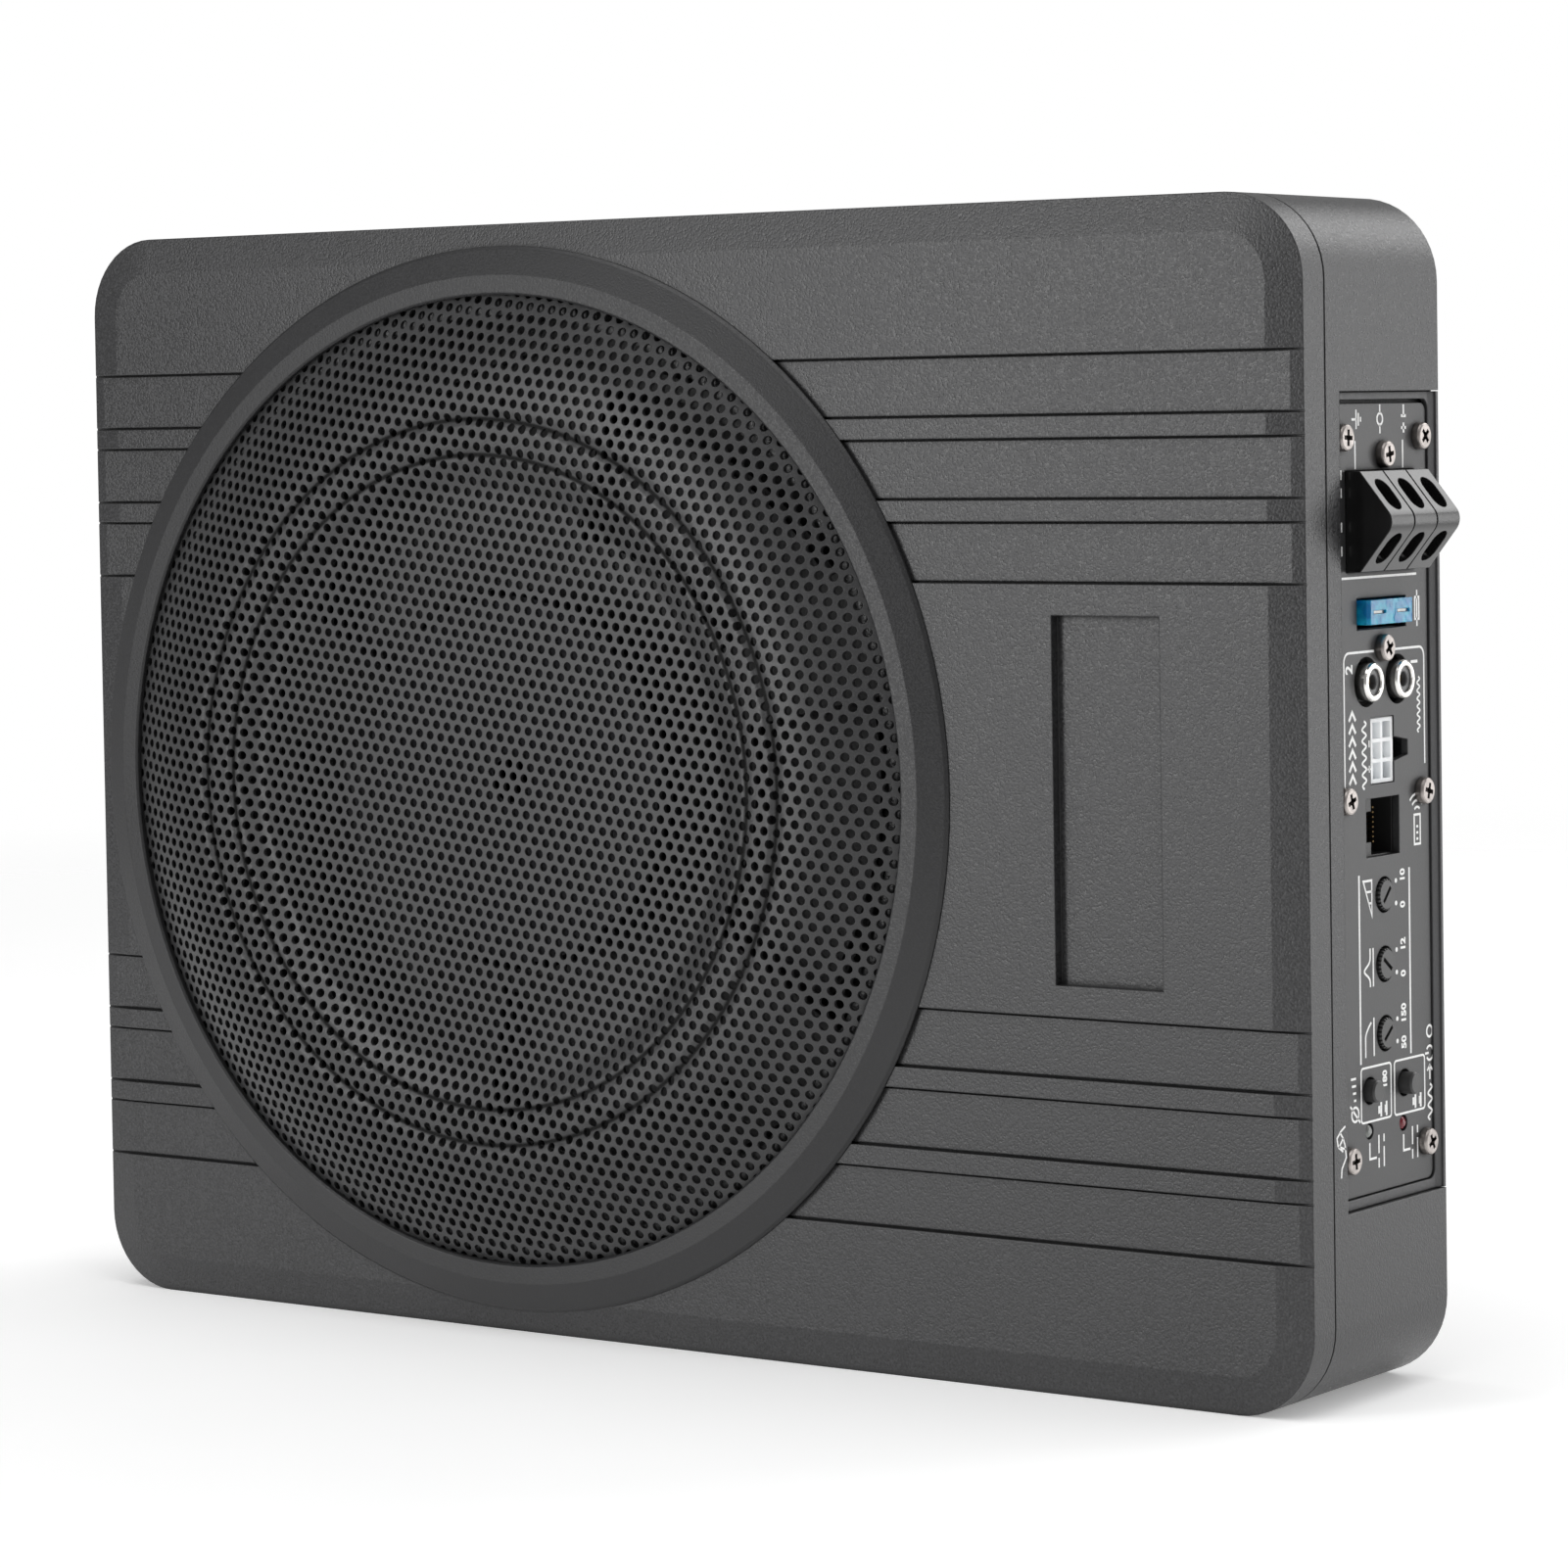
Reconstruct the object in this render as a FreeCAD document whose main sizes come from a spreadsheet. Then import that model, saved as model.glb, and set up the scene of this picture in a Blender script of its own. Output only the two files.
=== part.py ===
"""Powered car subwoofer, a flat under-seat case that stands on its long side.

The front face looks along -Y, +X runs to the control panel and +Z is up. The origin is on the
bottom face, midway along the case and midway between its front face and its back. Millimetres.
"""

import math
import os

import FreeCAD
import Part
import Sketcher

from FreeCAD import Placement, Rotation, Vector

SIZES = (
    # case
    ("case_wide", 329.4, "outside width of the case, along X"),
    ("case_tall", 250.0, "outside height of the case, along Z"),
    ("case_deep", 58.4, "front face to back, along Y"),
    ("corner_round", 18.0, "outside corner radius of the case"),
    ("wall", 3.0, "wall thickness of both castings"),
    ("seam_deep", 10.06, "front face to the seam between the castings"),
    ("seam_gap", 0.5, "open gap at the seam, filled by the case gasket"),
    ("bevel_wide", 8.1, "width of the bevel around the front face"),
    ("bevel_deep", 1.4, "fall of the bevel towards the side"),
    ("channel_deep", 0.9, "depth of the long front channels"),
    ("channel_groove", 0.5, "width of the groove along each channel edge"),
    ("channel_groove_deep", 0.7, "depth of that groove below the channel"),
    ("channel_edge_outer", 93.1, "height of the outermost channel edge above mid height"),
    ("channel_wide", 13.05, "width of one channel"),
    ("rib_wide", 4.4, "width of the rib between two channels"),
    ("badge_left", 104.8, "left edge of the blank recessed rectangle"),
    ("badge_wide", 26.1, "width of the blank recessed rectangle"),
    ("badge_tall", 77.3, "height of the blank recessed rectangle"),
    ("badge_deep", 2.4, "depth of the blank recessed rectangle"),
    ("cover_thick", 1.0, "thickness of the steel rear cover"),
    ("cover_inset", 1.5, "rim of casting left around the rear cover"),
    ("flange_thick", 1.1, "thickness of the rear cover's flange around the panel"),
    ("flange_rear", 2.85, "width of that flange beside the panel, along Y"),
    ("flange_proud", 0.4, "flange ahead of the panel face, where it meets the panel"),
    ("boss_radius", 6.0, "radius of the case screw bosses"),
    ("boss_inset", 11.0, "corner boss centre to the outside of the case"),
    ("boss_mid_x", 75.0, "position of the two middle bosses along X"),
    ("boss_mid_inset", 8.0, "middle boss centre to the outside of the case"),
    # round front opening
    ("ring_x", -41.04, "centre of the round opening along X"),
    ("ring_z", 125.0, "centre of the round opening above the base"),
    ("ring_inner", 109.1, "inner radius of the grille ring"),
    ("ring_crown", 113.5, "outer radius of the flat front band of the ring"),
    ("ring_outer", 120.0, "outer radius of the grille ring"),
    ("ring_proud", 3.0, "front band ahead of the front face"),
    ("ring_lip", 1.6, "thickness of the ring's front lip over the grille's rim"),
    ("ring_shoulder", 0.6, "outer edge of the sloping flank ahead of the front face"),
    ("grille_crest", 9.4, "highest part of the grille ahead of the front face"),
    ("grille_crease", 81.3, "radius where the grille's dome meets its bead"),
    ("grille_bead", 73.6, "inner radius of the bead"),
    ("grille_dish", 68.4, "radius of the sunk middle disc"),
    ("grille_sunk", 1.5, "depth of the sunk middle disc below the crest"),
    ("grille_thick", 1.0, "thickness of the grille sheet"),
    # driver
    ("well_inner", 104.5, "inner radius of the driver well"),
    ("well_wall", 3.0, "wall thickness of the driver well"),
    ("ledge_inner", 97.5, "inner radius of the ledge that carries the driver"),
    ("ledge_back", 5.8, "rear face of that ledge along Y"),
    ("yoke_front", -27.2, "front face of the yoke along Y"),
    ("yoke_radius", 43.0, "radius of the yoke plate"),
    ("plate_thick", 4.5, "thickness of yoke plate and top plate"),
    ("magnet_radius", 41.0, "outer radius of the ring magnet"),
    ("magnet_bore", 24.0, "inner radius of the ring magnet"),
    ("magnet_thick", 10.0, "thickness of the ring magnet"),
    ("pole_radius", 18.0, "radius of the pole piece"),
    ("gap_outer", 20.4, "radius of the hole in the top plate"),
    ("former_radius", 18.6, "inner radius of the voice coil former"),
    ("cone_radius", 78.0, "outer radius of the cone"),
    ("cone_deep", 9.5, "depth of the cone"),
    ("driver_screw_radius", 100.5, "pitch radius of the driver screws"),
    # control panel
    ("recess_tall", 168.4, "height of the panel recess in the side wall"),
    ("recess_front", -13.3, "front edge of the panel recess along Y"),
    ("panel_sunk", 1.5, "panel face below the side wall"),
    ("panel_thick", 1.6, "thickness of the panel plate"),
    ("panel_low", 43.4, "lower edge of the panel plate above the base"),
    ("panel_tall", 163.2, "height of the panel plate"),
    ("flange_low", 43.1, "lower edge of the flange's opening above the base"),
    ("flange_high", 207.5, "upper edge of the flange's opening above the base"),
    ("panel_mid", 6.2, "centre line of the panel's controls along Y"),
    ("terminal_z", 182.5, "centre of the terminal block above the base"),
    ("terminal_tall", 20.6, "height of the terminal block"),
    ("pole_pitch", 9.8, "pitch of the three terminal poles along Y"),
    ("terminal_step", 3.4, "straight part of the terminal block ahead of the panel"),
    ("terminal_rise", 8.3, "sloping part of the terminal block"),
    ("terminal_round", 3.5, "radius of the terminal block's nose"),
    ("fuse_z", 163.7, "centre of the fuse above the base"),
    ("fuse_wide", 19.1, "width of the blade fuse"),
    ("fuse_thick", 5.1, "thickness of the blade fuse"),
    ("fuse_proud", 2.4, "fuse ahead of the panel face"),
    ("phono_z", 149.3, "centre of the phono sockets above the base"),
    ("phono_pitch", 13.3, "pitch of the two phono sockets"),
    ("phono_radius", 4.05, "outer radius of a phono shell"),
    ("phono_proud", 2.2, "phono shell ahead of the panel face"),
    ("header_wide", 9.6, "width of the six way header along Y"),
    ("header_tall", 13.5, "height of the six way header"),
    ("header_z", 134.85, "centre of the six way header above the base"),
    ("cell_pitch", 4.2, "pitch of the header's cells"),
    ("jack_z", 119.0, "centre of the remote socket above the base"),
    ("jack_wide", 14.2, "remote opening along Y"),
    ("jack_tall", 12.2, "remote opening along Z"),
    ("knob_z", 104.8, "centre of the uppermost knob above the base"),
    ("knob_pitch", 14.45, "pitch of the three knobs"),
    ("knob_radius", 3.3, "radius of a knob"),
    ("knob_proud", 0.7, "knob ahead of the panel face"),
    ("button_z", 64.7, "centre of the buttons above the base"),
    ("button_radius", 2.35, "radius of a button"),
    ("lamp_z", 56.3, "centre of the indicator lamps above the base"),
    ("lamp_radius", 1.5, "radius of an indicator lamp"),
    # amplifier
    ("board_thick", 1.6, "thickness of both circuit boards"),
    ("board_front", 21.0, "component face of the amplifier board along Y"),
    ("board_left", 84.0, "left edge of the amplifier board"),
    ("board_wide", 62.0, "width of the amplifier board"),
    ("board_low", 40.0, "lower edge of the amplifier board above the base"),
    ("board_tall", 175.0, "height of the amplifier board"),
    ("control_board_x", 149.6, "component face of the control board along X"),
    # feet and fixings
    ("foot_radius", 9.0, "radius of a rubber foot"),
    ("foot_tall", 3.0, "height of a rubber foot"),
    ("foot_x", 135.0, "rubber feet to the middle, along X"),
    ("foot_rise", 95.0, "rubber feet to mid height, along Z"),
    ("insert_x", 110.0, "threaded inserts to the middle, along X"),
    ("insert_rise", 70.0, "threaded inserts to mid height, along Z"),
    ("insert_bore", 2.1, "radius of a threaded insert's hole"),
)

doc = FreeCAD.newDocument("subwoofer")
sheet = doc.addObject("Spreadsheet::Sheet", "Sizes")


class Dim:
    """A length with its number and the spreadsheet formula that drives it."""

    def __init__(self, number, formula=None):
        self.number = float(number)
        self.formula = formula or f"({float(number)!r})"

    def __add__(self, other):
        other = dim(other)
        return Dim(self.number + other.number, f"({self.formula} + {other.formula})")

    def __sub__(self, other):
        other = dim(other)
        return Dim(self.number - other.number, f"({self.formula} - {other.formula})")

    def __mul__(self, other):
        other = dim(other)
        return Dim(self.number * other.number, f"({self.formula} * {other.formula})")

    def __truediv__(self, other):
        other = dim(other)
        return Dim(self.number / other.number, f"({self.formula} / {other.formula})")

    def __neg__(self):
        return Dim(-self.number, f"(-1 * {self.formula})")

    __radd__ = __add__
    __rmul__ = __mul__

    def __rsub__(self, other):
        return dim(other) - self


def dim(value):
    """The value as a Dim, whether it is one already or a plain number."""
    return value if isinstance(value, Dim) else Dim(value)


def fill_sheet():
    """Write each size into its own row, and return the sizes by name."""
    named = {}
    for row, (name, number, meaning) in enumerate(SIZES, start=1):
        sheet.set(f"A{row}", meaning)
        sheet.set(f"B{row}", str(number))
        sheet.setAlias(f"B{row}", name)
        named[name] = Dim(number, f"Sizes.{name}")
    doc.recompute()
    return named


S = fill_sheet()

AXES = {"X": Vector(1, 0, 0), "Y": Vector(0, 1, 0), "Z": Vector(0, 0, 1)}
PLANES = {"X": "YZ_Plane", "Y": "XZ_Plane", "Z": "XY_Plane"}
ALONG = {
    "X": Rotation(Vector(0, 0, 1), Vector(1, 0, 0)),
    "Y": Rotation(Vector(0, 0, 1), Vector(0, 1, 0)),
    "Z": Rotation(),
}

HALF = S["case_wide"] / 2
MID = S["case_tall"] / 2
FACE = S["case_deep"] / -2
BACK = S["case_deep"] / 2
SEAM_FRONT = FACE + S["seam_deep"] - S["seam_gap"] / 2
SEAM_BACK = SEAM_FRONT + S["seam_gap"]
COVER_FRONT = BACK - S["cover_thick"]
PANEL_FACE = HALF - S["panel_sunk"]
PANEL_BACK = PANEL_FACE - S["panel_thick"]
YOKE_BACK = S["yoke_front"] + S["plate_thick"]
MAGNET_BACK = YOKE_BACK + S["magnet_thick"]
TOP_PLATE_BACK = MAGNET_BACK + S["plate_thick"]
FLANGE_FRONT = S["ledge_back"] + 1.0
FLANGE_BACK = FLANGE_FRONT + 2.0
SPOKES = 5
SPOKE_TURN = -13.0  # turns the basket so that one spoke stands nearly level
SPOKE_WINDOW = 52.0  # degrees of the bowl that each window takes
DRIVER_SCREW_START = 22.5


# ---------------------------------------------------------------- drawing helpers


def bind(thing, path, value):
    """Drive one property of an object by a spreadsheet formula."""
    thing.setExpression(path, dim(value).formula)


def place(thing, where, rotation=None):
    """Set where an object stands, with each coordinate driven by the spreadsheet."""
    point = Vector(*(dim(v).number for v in where))
    thing.Placement = Placement(point, rotation or Rotation())
    for letter, value in zip("xyz", where):
        bind(thing, f"Placement.Base.{letter}", value)


def new_body(label):
    body = doc.addObject("PartDesign::Body", label)
    body.Label = label
    return body


def origin_feature(body, role):
    return next(f for f in body.Origin.OriginFeatures if f.Role == role)


def new_sketch(body, axis, level, shift=(0, 0)):
    """A sketch in the plane across `axis` at `level`, with its own origin moved by `shift`."""
    sketch = body.newObject("Sketcher::SketchObject", f"{body.Label}_sketch")
    sketch.AttachmentSupport = (origin_feature(body, PLANES[axis]), "")
    sketch.MapMode = "FlatFace"
    height = -dim(level) if axis == "Y" else dim(level)
    for letter, value in zip("xyz", (shift[0], shift[1], height)):
        bind(sketch, f"AttachmentOffset.Base.{letter}", value)
    return sketch


def hold(sketch, number, point, where):
    """Pin one point of a sketch to driven coordinates."""
    for kind, value in zip(("DistanceX", "DistanceY"), where):
        value = dim(value)
        row = sketch.addConstraint(Sketcher.Constraint(kind, -1, 1, number, point, value.number))
        bind(sketch, f"Constraints[{row}]", value)


def draw_outline(sketch, corners):
    """A closed outline of straight edges."""
    points = [Vector(dim(a).number, dim(b).number, 0) for a, b in corners]
    first = sketch.GeometryCount
    count = len(points)
    for i, point in enumerate(points):
        sketch.addGeometry(Part.LineSegment(point, points[(i + 1) % count]), False)
    for i in range(count):
        following = first + (i + 1) % count
        sketch.addConstraint(Sketcher.Constraint("Coincident", first + i, 2, following, 1))
    for i, corner in enumerate(corners):
        hold(sketch, first + i, 1, corner)


def draw_box(sketch, low_a, high_a, low_b, high_b):
    """A closed rectangle between two pairs of driven limits."""
    draw_outline(sketch, [(low_a, low_b), (high_a, low_b), (high_a, high_b), (low_a, high_b)])


def draw_rounded(sketch, low_a, high_a, low_b, high_b, radius):
    """A closed rectangle with round corners between two pairs of driven limits."""
    r = dim(radius).number
    a, b, c, d = (dim(v).number for v in (low_a, high_a, low_b, high_b))
    first = sketch.GeometryCount
    sides = (
        ((a + r, c), (b - r, c)),
        ((b, c + r), (b, d - r)),
        ((b - r, d), (a + r, d)),
        ((a, d - r), (a, c + r)),
    )
    centres = ((b - r, c + r), (b - r, d - r), (a + r, d - r), (a + r, c + r))
    for i, ((start, end), centre) in enumerate(zip(sides, centres)):
        sketch.addGeometry(Part.LineSegment(Vector(*start, 0), Vector(*end, 0)), False)
        corner = Part.Circle(Vector(*centre, 0), Vector(0, 0, 1), r)
        quarter = math.pi / 2
        sketch.addGeometry(Part.ArcOfCircle(corner, quarter * (i - 1), quarter * i), False)
    for i in range(4):
        line, arc = first + 2 * i, first + 2 * i + 1
        following = first + 2 * ((i + 1) % 4)
        sketch.addConstraint(Sketcher.Constraint("Tangent", line, 2, arc, 1))
        sketch.addConstraint(Sketcher.Constraint("Tangent", arc, 2, following, 1))
        direction = "Horizontal" if i % 2 == 0 else "Vertical"
        sketch.addConstraint(Sketcher.Constraint(direction, line))
        if i:
            sketch.addConstraint(Sketcher.Constraint("Equal", first + 1, arc))
    row = sketch.addConstraint(Sketcher.Constraint("Radius", first + 1, r))
    bind(sketch, f"Constraints[{row}]", radius)
    limits = (
        ("DistanceY", 0, low_b), ("DistanceX", 2, high_a),
        ("DistanceY", 4, high_b), ("DistanceX", 6, low_a),
    )
    for kind, offset, value in limits:
        number = dim(value).number
        row = sketch.addConstraint(Sketcher.Constraint(kind, -1, 1, first + offset, 1, number))
        bind(sketch, f"Constraints[{row}]", value)


def draw_circle(sketch, centre, radius):
    point = Vector(dim(centre[0]).number, dim(centre[1]).number, 0)
    number = sketch.addGeometry(Part.Circle(point, Vector(0, 0, 1), dim(radius).number), False)
    row = sketch.addConstraint(Sketcher.Constraint("Radius", number, dim(radius).number))
    bind(sketch, f"Constraints[{row}]", radius)
    hold(sketch, number, 3, centre)


def extrude(body, kind, axis, low, high, draw, shift=(0, 0)):
    """Pad or Pocket what `draw` puts in a sketch, from `low` to `high` along `axis`."""
    sketch = new_sketch(body, axis, low, shift)
    draw(sketch)
    before = body.Shape.Volume if body.Tip else 0.0
    feature = body.newObject(f"PartDesign::{kind}", f"{body.Label}_{kind}")
    feature.Profile = sketch
    bind(feature, "Length", dim(high) - low)
    feature.Reversed = (axis == "Y") == (kind == "Pad")
    doc.recompute()
    change = body.Shape.Volume - before
    if (change > 0) != (kind == "Pad"):
        raise RuntimeError(f"{body.Label}: a {kind} changed nothing")
    return feature


def pad(body, axis, low, high, draw, shift=(0, 0)):
    return extrude(body, "Pad", axis, low, high, draw, shift)


def pocket(body, axis, low, high, draw, shift=(0, 0)):
    return extrude(body, "Pocket", axis, low, high, draw, shift)


def revolve(body, profile, shift=(0, 0), level=0, angle=360.0, kind="Revolution"):
    """Turn a (radius, Y) profile about an axis parallel to Y."""
    sketch = new_sketch(body, "Z", level, shift)
    draw_outline(sketch, profile)
    feature = body.newObject(f"PartDesign::{kind}", f"{body.Label}_{kind}")
    feature.Profile = sketch
    feature.ReferenceAxis = (sketch, ["V_Axis"])
    feature.Angle = angle
    doc.recompute()
    return feature


def turned(label, profile, where):
    """A turned part: its (radius, Y) profile about an axis parallel to Y through `where`."""
    body = new_body(label)
    revolve(body, profile)
    place(body, where)
    return body


def lathe_x(label, profile, where):
    """A turned part: its (X, radius) profile about an axis parallel to X through `where`."""
    body = new_body(label)
    sketch = new_sketch(body, "Z", 0)
    draw_outline(sketch, profile)
    feature = body.newObject("PartDesign::Revolution", f"{label}_turn")
    feature.Profile = sketch
    feature.ReferenceAxis = (sketch, ["H_Axis"])
    feature.Angle = 360.0
    doc.recompute()
    place(body, where)
    return body


def straight_edges(shape, axis, keep=lambda middle: True):
    """Names of the straight edges parallel to `axis` whose middle passes `keep`."""
    names = []
    for i, edge in enumerate(shape.Edges, start=1):
        if isinstance(edge.Curve, Part.Line):
            across = edge.Curve.Direction.cross(AXES[axis]).Length
            if across < 1e-6 and keep(edge.CenterOfMass):
                names.append(f"Edge{i}")
    return names


def dress(body, kind, names, **sizes):
    """Fillet or Chamfer named edges of a body's tip."""
    base = body.Tip
    feature = body.newObject(f"PartDesign::{kind}", f"{body.Label}_{kind}")
    feature.Base = (base, names)
    for name, value in sizes.items():
        if isinstance(value, (Dim, float)):
            bind(feature, name, value)
        else:
            setattr(feature, name, value)
    doc.recompute()
    if "Invalid" in feature.State:
        raise RuntimeError(f"{body.Label}: {feature.getStatusString()}")
    return feature


def block(name, low, high):
    """A Part::Box between two driven corners."""
    box = doc.addObject("Part::Box", name)
    for side, a, b in zip(("Length", "Width", "Height"), low, high):
        bind(box, side, dim(b) - a)
    place(box, low)
    return box


def rod(name, where, radius, length, axis="X", rotation=None):
    """A Part::Cylinder that starts at `where` and runs along `axis`."""
    cylinder = doc.addObject("Part::Cylinder", name)
    bind(cylinder, "Radius", radius)
    bind(cylinder, "Height", length)
    place(cylinder, where, rotation or ALONG[axis])
    return cylinder


def joined(label, parts):
    """Parts fused into one solid."""
    result = doc.addObject("Part::MultiFuse", label)
    result.Label = label
    result.Shapes = parts
    result.Refine = True
    return result


def cut(label, base, tools):
    """One solid with tools taken out of it."""
    result = doc.addObject("Part::Cut", label)
    result.Label = label
    result.Base = base
    result.Tool = tools[0] if len(tools) == 1 else joined(f"{label}_tools", tools)
    return result


def group(label, parts):
    """Identical pieces kept as separate solids in one node."""
    result = doc.addObject("Part::Compound", label)
    result.Label = label
    result.Links = parts
    return result


def copies(label, master, spots, rotation=None, turns=(0.0,)):
    """The same piece set down at several places, each turned about its own Z."""
    links = []
    for i, spot in enumerate(spots):
        link = doc.addObject("App::Link", f"{label}_link")
        link.LinkedObject = master
        link.LinkTransform = True
        own = Rotation(AXES["Z"], turns[i % len(turns)])
        place(link, spot, (rotation or Rotation()).multiply(own))
        links.append(link)
    return group(label, links)


def ring_centre():
    return (S["ring_x"], 0, S["ring_z"])


def polar_spots(radius, count, level, start=0.0):
    """Places on a circle about the round opening's axis."""
    spots = []
    for i in range(count):
        angle = math.radians(start + 360.0 * i / count)
        spots.append((
            S["ring_x"] + dim(radius) * math.cos(angle),
            level,
            S["ring_z"] + dim(radius) * math.sin(angle),
        ))
    return spots


def case_screw_spots():
    """Centres of the six case screws as (x, z)."""
    corner_x = HALF - S["boss_inset"]
    top = S["case_tall"] - S["boss_inset"]
    mid_top = S["case_tall"] - S["boss_mid_inset"]
    return [
        (-corner_x, S["boss_inset"]),
        (corner_x, S["boss_inset"]),
        (-corner_x, top),
        (corner_x, top),
        (S["boss_mid_x"], S["boss_mid_inset"]),
        (S["boss_mid_x"], mid_top),
    ]


def pan_screw(label, head_radius, head_tall, shank_radius, shank_long, cross=0.45):
    """A pan head screw along +Z with a cross recess, its head's seat at the origin."""
    body = new_body(label)
    sketch = new_sketch(body, "Y", 0)
    draw_outline(sketch, [
        (0, -shank_long),
        (shank_radius * 0.5, -shank_long),
        (shank_radius, -shank_long + shank_radius * 0.7),
        (shank_radius, 0),
        (head_radius, 0),
        (head_radius, head_tall * 0.7),
        (head_radius * 0.95, head_tall * 0.9),
        (head_radius * 0.84, head_tall),
        (0, head_tall),
    ])
    turn = body.newObject("PartDesign::Revolution", f"{label}_turn")
    turn.Profile = sketch
    turn.ReferenceAxis = (sketch, ["V_Axis"])
    turn.Angle = 360.0
    doc.recompute()
    reach, width = head_radius * 0.6, head_radius * 0.16
    floor, mouth = head_tall * cross, head_tall + 0.1
    pocket(body, "Z", floor, mouth, lambda s: draw_box(s, -reach, reach, -width, width))
    pocket(body, "Z", floor, mouth, lambda s: draw_box(s, -width, width, -reach, reach))
    pocket(body, "Z", floor - 0.2, mouth, lambda s: draw_circle(s, (0, 0), width * 1.75))
    return body


# ---------------------------------------------------------------- case


def channel_limits():
    """Lower and upper edge of each front channel, bottom to top."""
    limits = []
    for i in range(3):
        high = S["channel_edge_outer"] - (S["channel_wide"] + S["rib_wide"]) * i
        low = high - S["channel_wide"]
        limits += [(MID + low, MID + high), (MID - high, MID - low)]
    return limits


def front_outline(inset):
    """A function that draws the rounded case outline, set in by `inset`."""
    return lambda s: draw_rounded(
        s, -HALF + inset, HALF - inset, dim(inset), S["case_tall"] - inset,
        S["corner_round"] - inset,
    )


def make_front_baffle():
    """Front casting: bevelled face, channels, blank rectangle, driver well and bosses."""
    body = new_body("front_baffle")
    plate_back = FACE + S["wall"]
    pad(body, "Y", FACE, SEAM_FRONT, front_outline(0))
    front_edges = [
        f"Edge{i}"
        for i, edge in enumerate(body.Shape.Edges, start=1)
        if abs(edge.CenterOfMass.y - FACE.number) < 1e-4
    ]
    dress(
        body, "Chamfer", front_edges[:1],
        ChamferType="Two distances", Size=S["bevel_wide"], Size2=S["bevel_deep"],
    )
    face_area = max(f.Area for f in body.Shape.Faces if abs(f.CenterOfMass.y - FACE.number) < 1e-4)
    inner = (S["case_wide"].number - 2 * S["bevel_wide"].number) * S["case_tall"].number
    if face_area > inner:
        body.Tip.FlipDirection = True
        doc.recompute()
    pocket(body, "Y", plate_back, SEAM_FRONT, front_outline(S["wall"]))
    pocket(
        body, "Y", FACE - 1, FACE + S["channel_deep"],
        lambda s: [draw_box(s, -HALF - 1, HALF + 1, a, b) for a, b in channel_limits()],
    )
    groove = S["channel_groove"]
    pocket(
        body, "Y", FACE - 1, FACE + S["channel_deep"] + S["channel_groove_deep"],
        lambda s: [
            draw_box(s, -HALF - 1, HALF + 1, a, b)
            for low, high in channel_limits()
            for a, b in ((low, low + groove), (high - groove, high))
        ],
    )
    badge_right = S["badge_left"] + S["badge_wide"]
    badge_low, badge_high = MID - S["badge_tall"] / 2, MID + S["badge_tall"] / 2
    pad(
        body, "Y", plate_back, plate_back + S["badge_deep"],
        lambda s: draw_box(
            s, S["badge_left"] - S["wall"], badge_right + S["wall"],
            badge_low - S["wall"], badge_high + S["wall"],
        ),
    )
    pocket(
        body, "Y", FACE - 1, FACE + S["badge_deep"],
        lambda s: draw_box(s, S["badge_left"], badge_right, badge_low, badge_high),
    )
    pocket(
        body, "Y", FACE - 1, plate_back + 1,
        lambda s: draw_circle(s, (S["ring_x"], S["ring_z"]), S["ring_outer"] - 1),
    )
    well_outer = S["well_inner"] + S["well_wall"]
    ledge_front = S["ledge_back"] - S["wall"]
    revolve(
        body,
        [
            (S["well_inner"], FACE), (S["ring_outer"] - 0.5, FACE),
            (S["ring_outer"] - 0.5, plate_back), (well_outer, plate_back),
            (well_outer, S["ledge_back"]), (S["ledge_inner"], S["ledge_back"]),
            (S["ledge_inner"], ledge_front), (S["well_inner"], ledge_front),
        ],
        shift=(S["ring_x"], 0), level=S["ring_z"],
    )
    for spot in case_screw_spots():
        pad(
            body, "Y", plate_back - 0.5, SEAM_FRONT,
            lambda s, c=spot: draw_circle(s, c, S["boss_radius"]),
        )
    pocket(
        body, "Y", SEAM_FRONT - 5.5, SEAM_FRONT,
        lambda s: [draw_circle(s, c, 1.97) for c in case_screw_spots()],
    )
    pocket(
        body, "Y", ledge_front, S["ledge_back"],
        lambda s: [
            draw_circle(s, (x, z), 1.62)
            for x, _, z in polar_spots(S["driver_screw_radius"], 8, 0, DRIVER_SCREW_START)
        ],
    )
    return body


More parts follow.
